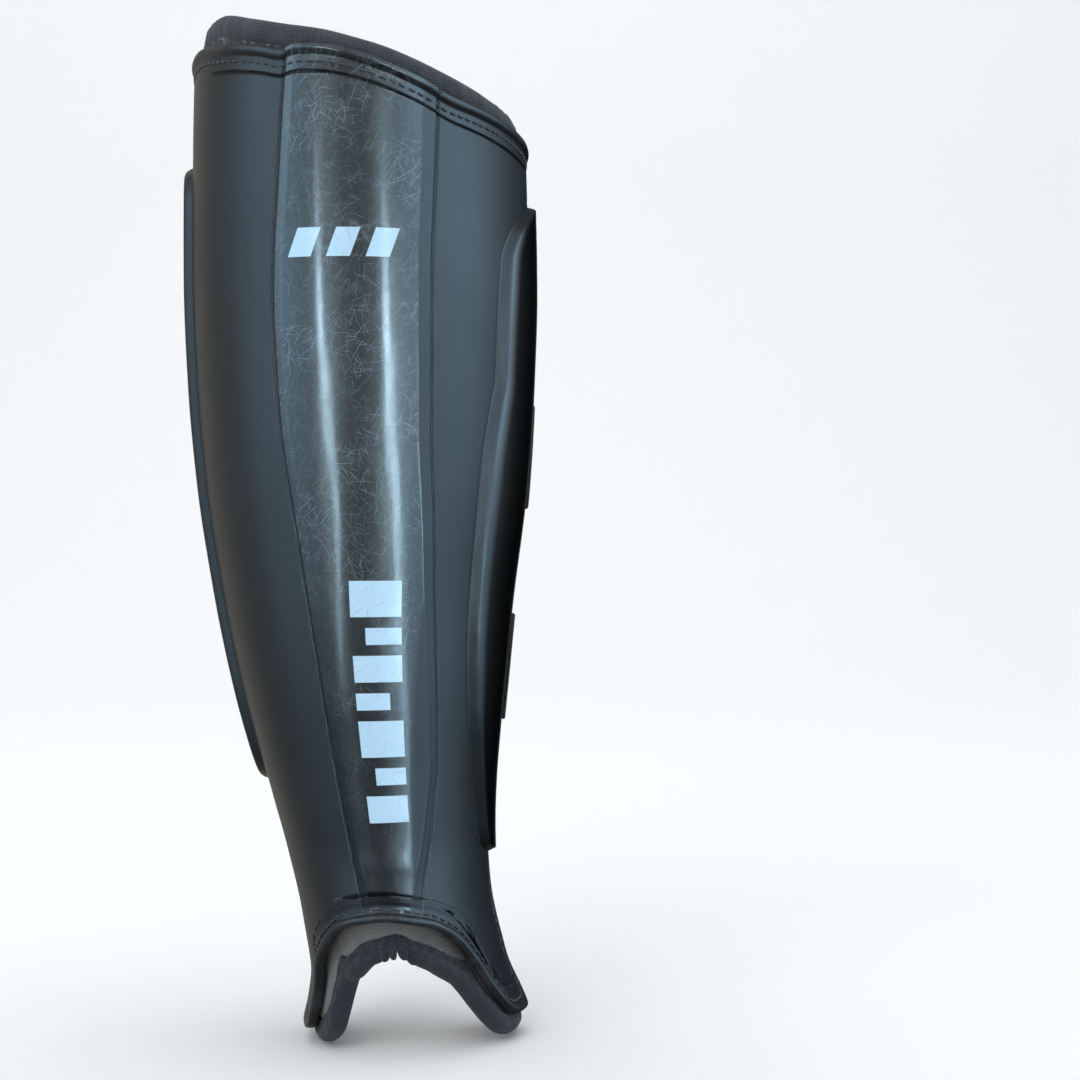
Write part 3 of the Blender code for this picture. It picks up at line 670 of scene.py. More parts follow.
FINISHES = {
    "shell": shell_finish(),
    "core_foam": foam_finish(),
    "liner_foam": pad_finish(),
    # Each cloth's two colours: painted shade for the hollows of its weave or ribs, painted highlight for the
    # crowns.
    "lining": cloth_finish("mesh_lining", lambda f, uv: weave(f, uv, 0.0013, 0.0016),
                           (0.006, 0.006, 0.007, 1), (0.034, 0.035, 0.039, 1), 0.0003),
    "binding": cloth_finish("ribbed_binding", ribbed_weave,
                            (0.0040, 0.0046, 0.0060, 1), (0.050, 0.055, 0.066, 1), 0.00022),
    "twill": cloth_finish("twill_binding", lambda f, uv: weave(f, uv, 0.0009, 0.0011, 0.62),
                          (0.0045, 0.0050, 0.0060, 1), (0.085, 0.092, 0.104, 1), 0.00020),
    "thread": thread_finish(),
    "print": print_finish(),
    "strap_elastic": cloth_finish("ribbed_elastic", lambda f, uv: ribs(f, uv, 0.0016, math.pi / 2),
                                  (0.007, 0.007, 0.008, 1), (0.034, 0.034, 0.038, 1), 0.0004),
    "hook_tape": hook_finish(),
    "loop_tape": loop_finish(),
}


def dressed(obj, slot, body="guard", nodes=(), finish=None):
    """Gives a piece the finish named by its slot, or by finish, hides the CAD nodes that it stands for, and
    puts it on its body.
    """
    obj.data.materials.append(FINISHES[finish or slot])
    if nodes:
        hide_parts(*nodes)
    if body:
        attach(obj, body)
    return obj


# ---------------------------------------------------------------- the moulded shell

# The shell's rows: distances in from both rims, then even rows between these shares of the height.
RIM_ROWS = (0.0004, 0.0008, 0.0012, 0.0016, 0.0020, 0.0023, 0.0026, 0.0030, 0.0034, 0.0039, 0.0044, 0.0049,
            0.0054, 0.0058, 0.0061, 0.0064, 0.0068, 0.0072, 0.0076)
EVEN_FROM, EVEN_TO, EVEN_ROWS = 0.028, 0.972, 150
# The flange behind a side panel: the edge angle where it starts, how fast it widens, and its least share.
FLANGE_FROM, FLANGE_OVER, LEAST_FLANGE = 60, 50, 0.25
# The stitch channel: how softly it starts and ends, and the crease at its end.
CHANNEL_START, CHANNEL_END, CREASE_DEPTH, CREASE_WIDTH = 0.0006, 0.0014, 0.00007, 0.00045
# The upper rim's step: where it starts and fades round the shell, and over what height.
STEP_START, STEP_FADE_TO, STEP_FADE_OVER, STEP_HEIGHT, STEP_OVER = 0.6, 12, 22, 0.012, 0.011
BEAD_CREST = 0.0011


def spaced_rows(ends, even):
    """Row places as share and extra: set distances from both rims, and even rows between."""
    share = [0.0] * len(ends) + list(np.linspace(EVEN_FROM, EVEN_TO, even)) + [1.0] * len(ends)
    extra = list(ends) + [0.0] * even + [-d for d in reversed(ends)]
    return np.array(share), np.array(extra)


def side_marks(outline, side, share, extra, foot_line):
    """The rear edge, flange and side panel of each row: angles, always positive, and the panel's raise."""
    edge = outline.reach(side, share, extra)
    height = outline.height(80 * side, share, extra)
    for _ in range(4):
        flange = edge - STRAP_ZONE * np.clip((edge - FLANGE_FROM) / FLANGE_OVER, LEAST_FLANGE, 1.0)
        foot = np.minimum(through(foot_line, height), flange - LEAST_SIDE_PANEL)
        height = outline.height(foot * side, share, extra)
    span = flange - foot
    bevel = np.minimum(SIDE_BEVEL, 0.35 * span)
    lift = SIDE_RAISE * np.clip((span - LEAST_SIDE_PANEL) / (2 * SIDE_BEVEL), 0, 1)
    return dict(edge=edge, flange=flange, bevel=bevel, foot=foot, lift=lift)


def foot_angle(outline, line, share, extra):
    """The angle where a line given as height, angle crosses each row."""
    angle = 8.0
    for _ in range(4):
        angle = through(line, outline.height(angle, share, extra))
    return angle


def lip(distance, shape):
    """The bead and the stitch channel along an edge, as an offset from the surface."""
    half = shape["bead"] / 2
    bead = shape["proud"] * np.sqrt(np.clip(1 - ((distance - half) / (half * 1.12)) ** 2, 0, 1))
    floor = -CHANNEL_DEPTH * eased((distance - shape["bead"]) / CHANNEL_START)
    floor = floor * eased((shape["channel"] - distance) / CHANNEL_END)
    crease = -CREASE_DEPTH * hump(distance - shape["channel"], CREASE_WIDTH)
    return np.where(distance < 1.06 * shape["bead"], bead, floor + crease)


def shell_relief(angle, height, sides, feet):
    """How far each point stands off the base surface, without the lip, and masks of panel and walls."""
    mm = degrees_of(0.001, height)
    foot_a, foot_b = feet
    fade = np.clip((height - PANEL_FADE_FROM) / PANEL_FADE_OVER, 0, 1)
    rise_a = (angle - foot_a) / PANEL_BEVEL_LATERAL
    rise_b = (foot_b - angle) / PANEL_BEVEL_MEDIAL
    ramp_a = 0.4 * eased(rise_a * 3) + 0.6 * eased(0.5 + rise_a / 2) * (rise_a > 0) * np.clip(rise_a, 0, 1)
    ramp_b = 0.4 * eased(rise_b * 4) + 0.6 * np.clip(rise_b, 0, 1)
    panel = np.clip(np.minimum(ramp_a, ramp_b), 0, 1)
    lift = PANEL_RAISE * fade * panel
    for foot in feet:
        lift = lift - GROOVE_DEPTH * (0.25 + 0.75 * fade) * hump((angle - foot) / mm * 0.001, GROOVE_WIDTH)
    for crest, share in ((foot_b - PANEL_BEVEL_MEDIAL, 1.0), (foot_a + PANEL_BEVEL_LATERAL, 0.5)):
        lift = lift + share * RIDGE_RISE * fade * hump((angle - crest) / mm * 0.001, RIDGE_WIDTH)
    walls = 0 * angle
    for side, marks in sides.items():
        bevel, past_foot = marks["bevel"], angle * side - marks["foot"]
        is_raised = marks["lift"] > LEAST_SIDE_RAISE
        up = eased(past_foot / bevel) * 0.6 + 0.4 * np.clip(past_foot / bevel, 0, 1)
        down = np.clip((marks["flange"] - angle * side) / bevel, 0, 1)
        lift = lift + marks["lift"] * np.minimum(up, down)
        lift = lift - STEP_GROOVE_DEPTH * hump(past_foot / mm * 0.001, STEP_GROOVE_WIDTH) * is_raised
        walls = walls + eased((past_foot - 0.7 * bevel) / (0.3 * bevel)) * is_raised
    on_panel = eased((angle - foot_a - 0.5) / 0.8) * eased((foot_b - PANEL_BEVEL_MEDIAL - angle) / 0.5)
    on_panel = on_panel * eased((through(GLOSS_EDGE, height) - angle) / 2.5)
    return lift, on_panel * eased((height - 0.040) / 0.006), np.clip(walls, 0, 1)


def shell_columns(sides, foot_a, foot_b):
    """The angles of the shell's columns, closer together at every bevel and groove."""
    left, right = sides[-1], sides[1]
    breaks = (
        (-left["edge"], 7), (-left["edge"] + 1.4, 4), (-left["flange"], 4),
        (-left["flange"] + left["bevel"], 14), (-left["foot"] - left["bevel"], 6), (-left["foot"], 3),
        (-left["foot"] + 1.2, 30),
        (foot_a - 1.3, 5), (foot_a, 5), (foot_a + 1.3, 4), (foot_a + PANEL_BEVEL_LATERAL + 0.8, 30),
        (foot_b - PANEL_BEVEL_MEDIAL - 0.8, 4), (foot_b - PANEL_BEVEL_MEDIAL + 0.8, 4), (foot_b - 1.3, 5),
        (foot_b, 5), (foot_b + 1.3, 28), (right["foot"] - 1.2, 3), (right["foot"], 7),
        (right["foot"] + right["bevel"], 9), (right["flange"] - right["bevel"], 4), (right["flange"], 4),
        (right["edge"] - 1.4, 7), (right["edge"], 0),
    )
    columns = []
    for (start, spans), (stop, _) in zip(breaks, breaks[1:]):
        columns += [start + (stop - start) * k / spans for k in range(spans)]
    return np.array(columns + [breaks[-1][0]])


def rounded_rim(a, b, beyond, turns, thin):
    """Points round a rim, from line a to line b, bulging away from the line beyond."""
    up = (a - beyond)[:, None]
    up = up / np.maximum(np.linalg.norm(up, axis=-1, keepdims=True), 1e-9)
    centre, half = ((a + b) / 2)[:, None], ((a - b) / 2)[:, None]
    cos, sin = np.cos(turns)[None, :, None], np.sin(turns)[None, :, None]
    return centre + half * cos + up * sin * RIM_BULGE * thin[:, :1]


def moulded_shell():
    outline = SHELL_OUTLINE
    share, extra = spaced_rows(RIM_ROWS, EVEN_ROWS)
    sides = {side: side_marks(outline, side, share, extra, line)
             for side, line in ((-1, LATERAL_STEP_FOOT), (1, MEDIAL_STEP_FOOT))}
    foot_a = foot_angle(outline, PANEL_LATERAL_FOOT, share, extra)
    foot_b = foot_angle(outline, PANEL_MEDIAL_FOOT, share, extra)
    angle = shell_columns(sides, foot_a, foot_b)
    height = outline.height(angle, share, extra)
    lift, on_panel, walls = shell_relief(angle, height, sides, (foot_a, foot_b))
    distance, is_top = outline.from_edge(angle, height)
    distance = np.maximum(distance, 0)
    edge_shape = np.where(is_top, lip(distance, TOP_LIP), lip(distance, BOTTOM_LIP))
    stepped = PANEL_RIM_STEP * eased(angle - foot_a + STEP_START)
    stepped = stepped * eased((STEP_FADE_TO - angle) / STEP_FADE_OVER)
    near_top = eased((height - outline.height(angle, 1) + STEP_HEIGHT) / STEP_OVER)
    outer_height = height + stepped * near_top
    outer = skin(angle, outer_height, lift + edge_shape)
    inner = skin(angle, outer_height, lift - SHELL_WALL)

    thinning = []
    for side, marks in sides.items():
        aside = (marks["edge"] - angle * side) / degrees_of(0.0010, height)
        thinning.append(np.sqrt(np.clip(1 - (1 - np.clip(aside, 0, 1)) ** 2, 0, 1)))
    thin = np.minimum(*thinning)[..., None]
    middle = (outer + inner) / 2
    outer, inner = middle + (outer - middle) * thin, middle + (inner - middle) * thin

    turns = np.linspace(0, math.pi, 7)[1:-1]
    top = rounded_rim(outer[:, -1], inner[:, -1], outer[:, -2], turns, thin)
    bottom = rounded_rim(inner[:, 0], outer[:, 0], inner[:, 1], turns, thin)
    sections = np.concatenate((outer, top, inner[:, ::-1], bottom), 1)
    count = angle.shape[1]
    extra_columns = len(turns)

    def ringed(values, rim_value=0.0):
        at_rim = np.full((len(values), extra_columns), rim_value)
        return np.concatenate((values, at_rim, values[:, ::-1], at_rim), 1)

    u = np.radians(angle) * UV_RADIUS
    flat = np.stack((ringed(u), ringed(height)), -1)
    flat[:, count:count + extra_columns] = flat[:, count - 1:count]
    flat[:, -extra_columns:] = flat[:, :1]
    uv = np.concatenate((flat, flat[:, :1]), 1)
    on_bead = hump(distance - BEAD_CREST, BEAD_CREST)
    gloss = np.clip(on_panel + walls, 0, 1)
    values = {"gloss": ringed(gloss), "wear": ringed(on_panel), "rim": ringed(on_bead, 1.0)}
    made = surface("moulded_shell", sections, uv, wrap=True, values=values, merge=2e-6)
    return dressed(made, "shell", nodes=["outer_shell"])


# ---------------------------------------------------------------- foam, liner and lining

def slab(name, outline, face, thickness, columns, rows, crown=0.0, edge_round=0.0015, ripple=0.0):
    """A soft sheet that follows the base surface: crowned faces and rounded edges all round."""
    share = 0.5 - 0.5 * np.cos(np.linspace(0, math.pi, rows))
    share = 0.35 * share + 0.65 * np.linspace(0, 1, rows)
    reach = {side: outline.reach(side, share) for side in SIDES}
    across = np.linspace(-1, 1, columns)[:, None]
    across = 0.85 * across + 0.15 * np.sin(across * math.pi / 2)
    angle = np.where(across > 0, across * reach[1], across * reach[-1])
    height = outline.height(angle, share + 0 * angle)
    distance, _ = outline.from_edge(angle, height)
    distance = np.maximum(distance, 0)
    full = np.sqrt(np.clip(1 - (1 - np.clip(distance / edge_round, 0, 1)) ** 2, 0, 1))
    full[[0, -1]] = 0
    full[:, [0, -1]] = 0
    swell = crown * (1 - np.exp(-distance / 0.006))
    uneven = ripple * np.sin(angle * 0.37 + height * 90) * np.sin(height * 210 + angle * 0.11)
    middle = (face if outline.bottom is FOAM_BOTTOM else tucked(face, angle, height)) - thickness / 2
    outer = skin(angle, height, middle + full * (thickness / 2 + swell + uneven))
    inner = skin(angle, height, middle - full * thickness / 2)
    sections = np.concatenate((outer, inner[:, ::-1]), 1)
    flat = np.stack((np.radians(angle) * UV_RADIUS, height), -1)
    uv = np.concatenate((flat, flat[:, ::-1], flat[:, :1]), 1)
    return surface(name, sections, uv, wrap=True, merge=1e-7)


def soft_layers():
    core = Outline(SHELL_TOP, FOAM_BOTTOM, SHELL_TOP_CORNER, SHELL_BOTTOM_CORNER, FOAM_INSET)
    foam = slab("foam_core_sheet", core, FOAM_FACE, FOAM_THICK, 72, 90)
    dressed(foam, "core_foam", nodes=["foam_core"])
    inside = Outline(LINER_TOP, LINER_BOTTOM, LINER_CORNER, LINER_CORNER, PAD_INSET)
    pad = slab("grey_liner_pad", inside, LINER_FACE, LINER_THICK, 110, 150, crown=0.0009, ripple=0.00012)
    dressed(pad, "liner_foam", nodes=["liner_pad"])
    lining = slab("mesh_lining_sheet", inside, LINING_FACE, LINING_THICK, 110, 150, edge_round=0.0005,
                  ripple=0.0001)
    dressed(lining, "lining", nodes=["lining_fabric"])
    width, length, area = sheet_size(lining)


def sheet_size(obj):
    """The flat width, length and area that a thin closed sheet was cut to."""
    area = sum(face.area for face in obj.data.polygons) / 2
    low, high = (Vector(corner) for corner in (obj.bound_box[0], obj.bound_box[6]))
    length = high.z - low.z
    middle = 0.215
    turn = np.linspace(-rear_angle(middle), rear_angle(middle), 120)
    width = float(lengths(skin(turn, middle, LINING_FACE))[-1])
    return round(width, 3), round(length, 3), round(min(area, 0.99 * width * length), 5)


# ---------------------------------------------------------------- the tapes round the liner

# The tape's folded section: distance in from its outer edge, and depth below the tape's front face.
TAPE_SECTION = (
    (0.0076, 0.0006), (0.0074, 0.0001), (0.0066, -0.0001), (0.0057, 0.0000), (0.0052, 0.0005),
    (0.0047, 0.0000), (0.0040, -0.0003), (0.0028, -0.0004), (0.0016, -0.0001), (0.0007, 0.0006),
    (0.0001, 0.0016), (0.0, 0.0029), (0.0002, 0.0043), (0.0008, 0.0053), (0.0018, 0.0059),
    (0.0030, 0.0062), (0.0043, 0.0061), (0.0052, 0.0056), (0.0060, 0.0061), (0.0072, 0.0060),
    (0.0076, 0.0055),
)
# Gathers at the top of the ankle arch: angle, half width in degrees, how far the edge is drawn in.
GATHERS = ((7.0, 1.3, 0.0016), (-2.6, 1.2, 0.0007), (15.2, 1.5, 0.0006), (-10.0, 1.6, 0.0003),
           (22.0, 1.6, 0.0003))
# The folds round the gathers: middle and half width in degrees, swell, scallop, and the fold's own spacing.
FOLDS_AT, FOLDS_WIDTH, FOLD_SWELL, FOLD_SCALLOP, FOLD_SPACING = 6.0, 13.0, 0.00042, 0.00035, 9.2


def tape_points(angle, height, depth):
    return skin(angle, height, tucked(BINDING_FACE, angle, height) - depth)


def gathered(angle, inward):
    """Distance that the edge of the ankle tape is drawn in, and the swell of its folds, near the gathers."""
    drawn = sum(depth * hump(angle - at, width) for at, width, depth in GATHERS)
    window = hump(angle - FOLDS_AT, FOLDS_WIDTH)
    wide = np.cos((angle - 2.2) * 2 * math.pi / FOLD_SPACING)
    fine = np.cos((angle - 1.0) * 2 * math.pi / 3.9)
    swell = FOLD_SWELL * window * (wide + 0.4 * fine) * eased((0.0062 - inward) / 0.004)
    scallop = FOLD_SCALLOP * window * wide
    return (drawn - scallop) * eased((0.0075 - inward) / 0.006), swell


def rim_tape(name, at_top, node, finish):
    """The tape folded over the liner's top or bottom rim."""
    inward, depth = np.array(TAPE_SECTION).T
    inward = inward * (TOP_TAPE_WIDER if at_top else ANKLE_TAPE_NARROWER)
    angle, height = rim_line(LINER_OUTLINE, at_top, inward, 420)
    depth = depth + 0 * angle
    along = lengths(skin(angle, height)).mean(1)[:, None]
    wobble = 0.00010 * np.sin(along * 520) + 0.00008 * np.sin(along * 1130 + 1.3)
    depth = depth - wobble * (depth < 0.001)
    if not at_top:
        drawn, swell = gathered(angle, inward)
        height = height + drawn
        depth = depth - swell * np.where(depth < 0.003, 1, -0.6)
    made = tube(name, tape_points(angle, height, depth))
    return dressed(made, "binding", nodes=[node], finish=finish)


def edge_tape(name, side, node):
    """The tape folded over one rear edge of the liner."""
    inward, depth = np.array(TAPE_SECTION).T
    angle, height = rear_line(LINER_OUTLINE, side, inward, 200, LINER_OUTLINE.corner_top)
    made = tube(name, tape_points(angle, height, depth + 0 * angle))
    return dressed(made, "binding", nodes=[node])


# ---------------------------------------------------------------- stitches

# A stitch strays along its row by a share of the pitch, in a rhythm in radians for each stitch.
STRAY_SHARE, STRAY_RHYTHM = 0.05, 2.4
# How deep a stitch's ends dive, as a share of its arch, and the least share of its thickness there.
END_DIVE, LEAST_END = 2.2, 0.05


def stitch_row(name, line, outward, pitch, length, radius, arch, nodes=(), lean=0.0):
    """A row of lock stitches along a line: each a short arched thread whose ends sink into the surface."""
    run = lengths(line)
    count = max(2, int(run[-1] / pitch))
    loops, steps = 6, 7
    ring = np.linspace(0, 2 * math.pi, loops, endpoint=False)
    vertices, faces = [], []
    for k in range(count):
        middle = (k + 0.5) * run[-1] / count
        stray = STRAY_SHARE * pitch * math.sin(k * STRAY_RHYTHM)
        where = middle + stray + np.linspace(-length / 2, length / 2, steps)
        core = np.stack([np.interp(where, run, line[:, i]) for i in range(3)], -1)
        normal = np.stack([np.interp(where, run, outward[:, i]) for i in range(3)], -1)
        normal /= np.linalg.norm(normal, axis=-1, keepdims=True)
        ahead = core[-1] - core[0]
        ahead /= max(np.linalg.norm(ahead), 1e-9)
        beside = np.cross(ahead, normal)
        t = np.linspace(-1, 1, steps)[:, None]
        core = core + normal * arch * (1 - t**4 * END_DIVE) + beside * lean * t * length / 2
        fat = radius * np.sqrt(np.clip(1.02 - t**6, LEAST_END, 1))
        circle = np.cos(ring)[None, :, None] * beside[:, None] + np.sin(ring)[None, :, None] * normal[:, None]
        first = len(vertices)
        vertices += (core[:, None] + circle * fat[..., None]).reshape(-1, 3).tolist()
        for a in range(steps - 1):
            for b in range(loops):
                low, high = first + a * loops + b, first + a * loops + (b + 1) % loops
                faces.append((low, high, high + loops, low + loops))
        faces.append(tuple(first + b for b in reversed(range(loops))))
        faces.append(tuple(first + (steps - 1) * loops + b for b in range(loops)))
    mesh = bpy.data.meshes.new(name)
    mesh.from_pydata(vertices, [], faces)
    layer = mesh.uv_layers.new(name="surface")
    for loop in mesh.loops:
        point = mesh.vertices[loop.vertex_index].co
        layer.uv[loop.index].vector = (point.x + point.y, point.z)
    mesh.shade_smooth()
    return dressed(linked(name, mesh), "thread", nodes=nodes)


def stitched(name, rim, offset, **thread):
    """A stitch row along a rim's angles and heights, at an offset from the surface."""
    angle, height = (part[:, 0] for part in rim)
    if callable(offset):
        offset = offset(angle, height)
    line = skin(angle, height, offset)
    stitch_row(name, line, skin(angle, height, offset + 0.001) - line, **thread)


def stitching():
    """Rows through the shell's channels, each standing for a CAD node, and finer seams on the tapes."""
    def in_channel(angle, height):
        return rim_lift(angle, height) - CHANNEL_DEPTH

    def on_tape(angle, height):
        return tucked(BINDING_FACE, angle, height) - TAPE_SEAM_DEPTH

    through_shell = dict(pitch=0.0031, length=0.0026, radius=0.00034, arch=0.00022, lean=0.05)
    on_edge = dict(pitch=0.0033, length=0.0027, radius=0.00026, arch=0.00016, lean=0.03)
    for name, at_top, inset, node in (("top", True, TOP_THREAD_INSET, "top_stitching"),
                                      ("ankle", False, BOTTOM_THREAD_INSET, "bottom_stitching")):
        rim = rim_line(SHELL_OUTLINE, at_top, [inset], 420)
        stitched(f"{name}_lockstitch", rim, in_channel, nodes=[node], **through_shell)
    for side, name in zip(SIDES, ("lateral", "medial")):
        rim = rear_line(SHELL_OUTLINE, side, [REAR_THREAD_INSET], 200, SHELL_TOP_CORNER)
        stitched(f"{name}_lockstitch", rim, -CHANNEL_DEPTH, nodes=[f"{name}_stitching"], **through_shell)
    for name, at_top, wider in (("top", True, TOP_TAPE_WIDER), ("ankle", False, ANKLE_TAPE_NARROWER)):
        rim = rim_line(LINER_OUTLINE, at_top, [TAPE_SEAM * wider], 420)
        stitched(f"{name}_tape_seam", rim, on_tape, **on_edge)
    for side, name in zip(SIDES, ("lateral", "medial")):
        rim = rear_line(LINER_OUTLINE, side, [TAPE_SEAM], 200, LINER_OUTLINE.corner_top)
        stitched(f"{name}_tape_seam", rim, on_tape, **on_edge)


def rim_lift(angle, height):
    """The centre panel's raise under a stitch row."""
    foot_a, foot_b = through(PANEL_LATERAL_FOOT, height), through(PANEL_MEDIAL_FOOT, height)
    inside = eased((angle - foot_a) / PANEL_BEVEL_LATERAL) * eased((foot_b - angle) / PANEL_BEVEL_MEDIAL)
    return PANEL_RAISE * inside * np.clip((height - PANEL_FADE_FROM) / PANEL_FADE_OVER, 0, 1)


# ---------------------------------------------------------------- prints

def printed(name, placing, shapes, node):
    """Flat blocks of print on the panel. Each shape is a quad in the print's own box, 0 to 1 both ways."""
    middle_angle, middle_height, width, height = placing
    half = math.degrees(width / 2 / float(through(SECTIONS, middle_height, 2)))
    work = bmesh.new()
    layer = work.loops.layers.uv.new("surface")
    steps = 10
    for corners in shapes:
        a, b, c, d = (np.array(corner, float) for corner in corners)
        grids = []
        for face in (PRINT_FACE, PRINT_FACE - PRINT_THICK):
            rows = []
            for i in range(steps + 1):
                low, high = a + (d - a) * i / steps, b + (c - b) * i / steps
                places = [low + (high - low) * k / steps for k in range(steps + 1)]
                at = [(middle_angle + half * (2 * across - 1), middle_height + height * (up - 0.5))
                      for across, up in places]
                rows.append([(work.verts.new(skin(*q, face).tolist()), q) for q in at])
            grids.append(rows)
        outer, inner = grids
        quads = []
        for i in range(steps):
            for k in range(steps):
                quads.append((outer[i][k], outer[i][k + 1], outer[i + 1][k + 1], outer[i + 1][k]))
                quads.append((inner[i][k], inner[i + 1][k], inner[i + 1][k + 1], inner[i][k + 1]))
        for k in range(steps):
            quads.append((outer[0][k], inner[0][k], inner[0][k + 1], outer[0][k + 1]))
            quads.append((outer[-1][k], outer[-1][k + 1], inner[-1][k + 1], inner[-1][k]))
            quads.append((outer[k][0], outer[k + 1][0], inner[k + 1][0], inner[k][0]))
            quads.append((outer[k][-1], inner[k][-1], inner[k + 1][-1], outer[k + 1][-1]))
        for quad in quads:
            face = work.faces.new([vertex for vertex, _ in quad])
            for loop, (_, place) in zip(face.loops, quad):
                loop[layer].uv = (math.radians(place[0]) * UV_RADIUS, place[1])
    bmesh.ops.recalc_face_normals(work, faces=work.faces)
    mesh = bpy.data.meshes.new(name)
    work.to_mesh(mesh)
    work.free()
    mesh.shade_smooth()
    mesh.set_sharp_from_angle(angle=math.radians(40))
    return dressed(linked(name, mesh), "print", nodes=[node])


def slanted(left, right, low, high, lean):
    """A slanted bar as four corners."""
    return ((left, low), (right, low), (right + lean, high), (left + lean, high))


def prints():
    upper = [slanted(0.02 + k * 0.33, 0.22 + k * 0.33, 0.08, 0.92, 0.09) for k in range(3)]
    printed("upper_print_bars", UPPER_PRINT, upper, "upper_print")
    lower, at = [], 0.0
    for run, left, right in ((0.11, 0.05, 0.95), (0.07, 0.30, 0.95), (0.15, 0.05, 0.95), (0.07, 0.05, 0.70),
                             (0.11, 0.05, 0.95), (0.07, 0.30, 0.95), (0.15, 0.05, 0.95)):
        lower.append(((left, at), (right, at), (right, at + run), (left, at + run)))
        at += run + 0.045
    printed("lower_print_bars", LOWER_PRINT, lower, "lower_print")


# ---------------------------------------------------------------- straps

# Degrees in from the rear edge where a strap meets the wall, and how many degrees on its bend is aimed.
LANDING, BEND_REACH = 1.5, 6
def hinge_line(level, side):
    """Where the strap turns about a vertical line, just behind the guard's rear edge."""
    middle = STRAP_HEIGHTS[level]
    top = middle + STRAP_WIDTH / 2
    furthest = skin(side * rear_angle(top), top)
    beside = skin(side * rear_angle(middle), middle, ANCHOR_FACE)
    return np.array((beside[0], furthest[1] + HINGE_BEHIND, middle))


def wrap_path(level, side, across, reach, face):
    """A ribbon's middle from the hinge line to its end on the outer wall, for each share of its width."""
    height = STRAP_HEIGHTS[level] + across * STRAP_WIDTH / 2
    pivot = hinge_line(level, side)
    start = np.array((pivot[0] + side * STRAP_THICK / 2, pivot[1] - HINGE_GAP, height))
    edge = side * rear_angle(height)
    landing = skin(edge - side * LANDING, height, face)
    before = skin(edge - side * (LANDING - 1), height, face)
    bend = landing + (before - landing) * BEND_REACH
    t = np.linspace(0, 1, 12)[:, None]
    free = start * (1 - t) ** 2 + bend * 2 * t * (1 - t) + landing * t**2
    run = np.linspace(0, 1, 22)[1:]
    on_wall = skin(edge - side * (LANDING + (reach - LANDING) * run), height + 0 * run, face)
    return np.concatenate((free, on_wall))


def band_path(level, across):
    """The elastic's middle across the back, from the lateral hinge line to the medial one."""
    start, end = hinge_line(level, -1), hinge_line(level, 1)
    run = end - start
    length = np.linalg.norm(run)
    ahead = run / length
    back = np.array((-ahead[1], ahead[0], 0))
    t = np.linspace(0, 1, 70)[:, None]
    distance = HINGE_GAP + (length - 2 * HINGE_GAP) * t
    lift = np.array((0, 0, across * STRAP_WIDTH / 2))
    return start + ahead * distance + back * STRAP_BOW * np.sin(math.pi * t) + lift


def ribbon(name, paths, thickness, edge=0.0007):
    """A flat strap over paths (columns across, points along, 3), with rounded edges."""
    middle = np.moveaxis(np.array(paths), 0, 1)
    along = np.gradient(middle, axis=0)
    across = np.gradient(middle, axis=1)
    normal = np.cross(along, across)
    normal /= np.maximum(np.linalg.norm(normal, axis=-1, keepdims=True), 1e-12)
    from_side = [lengths(np.moveaxis(row, 1, 0)) for row in (middle, middle[:, ::-1])]
    from_side = np.minimum(from_side[0], from_side[1][::-1])
    full = np.sqrt(np.clip(1 - (1 - np.clip(from_side.T / edge, 0, 1)) ** 2, 0, 1))[..., None]
    half = normal * thickness / 2 * full
    sections = np.concatenate((middle + half, (middle - half)[:, ::-1]), 1)
    return tube(name, sections)


HALF_ACROSS = (0.2, 0.4, 0.6, 0.8, 0.94, 0.965, 0.985, 1.0)
ACROSS = tuple(-share for share in reversed(HALF_ACROSS)) + (0.0,) + HALF_ACROSS


def elastic(level):
    """The elastic band, sewn to the outer wall at its lateral end and free behind the calf."""
    paths = []
    for across in ACROSS:
        anchor = wrap_path(level, -1, across, ANCHOR_LENGTH, ANCHOR_FACE)[::-1]
        paths.append(np.concatenate((anchor, band_path(level, across))))
    made = ribbon(f"{level}_elastic", paths, STRAP_THICK)
    dressed(made, "strap_elastic", None, [f"{level}_strap_anchor", f"{level}_strap_band"])
    pivot = hinge_line(level, -1)
    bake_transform(made)


def pull_tab(level):
    """The tab that closes the strap, lying on the medial wall, with the hook tape behind it."""
    paths = [wrap_path(level, 1, across, TAB_REACH, TAB_FACE - STRAP_THICK / 2) for across in ACROSS]
    made = ribbon(f"{level}_pull_tab", paths, STRAP_THICK)
    dressed(made, "strap_elastic", None, [f"{level}_strap_tab"])
    pivot = hinge_line(level, 1)
    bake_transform(made)


def patch(name, level, reach, face, thickness, slot, node, body):
    """A patch of hook or loop tape on the medial wall."""
    share = np.linspace(0, 1, 24)[:, None]
    up = np.array(ACROSS)[None]
    height = STRAP_HEIGHTS[level] + up * (STRAP_WIDTH / 2 - PATCH_SHY)
    angle = rear_angle(height) - PATCH_MARGIN - reach * (1 - share)
    middle = skin(angle, height + 0 * angle, face - thickness / 2)
    made = ribbon(name, np.moveaxis(middle, 0, 1), thickness, edge=0.0004)
    return dressed(made, slot, body, [node])


def anchor_stitches(level):
    """Two sewn rows that hold the elastic's lateral end on the shell."""
    for row, across in enumerate((-0.82, 0.82)):
        line, under = (wrap_path(level, -1, across, ANCHOR_LENGTH, face)[12:-1]
                       for face in (ANCHOR_FACE + STRAP_THICK / 2, 0.0))
        stitch_row(f"{level}_anchor_seam_{row}", line, line - under, 0.0028, 0.0023, 0.00028, 0.00010)


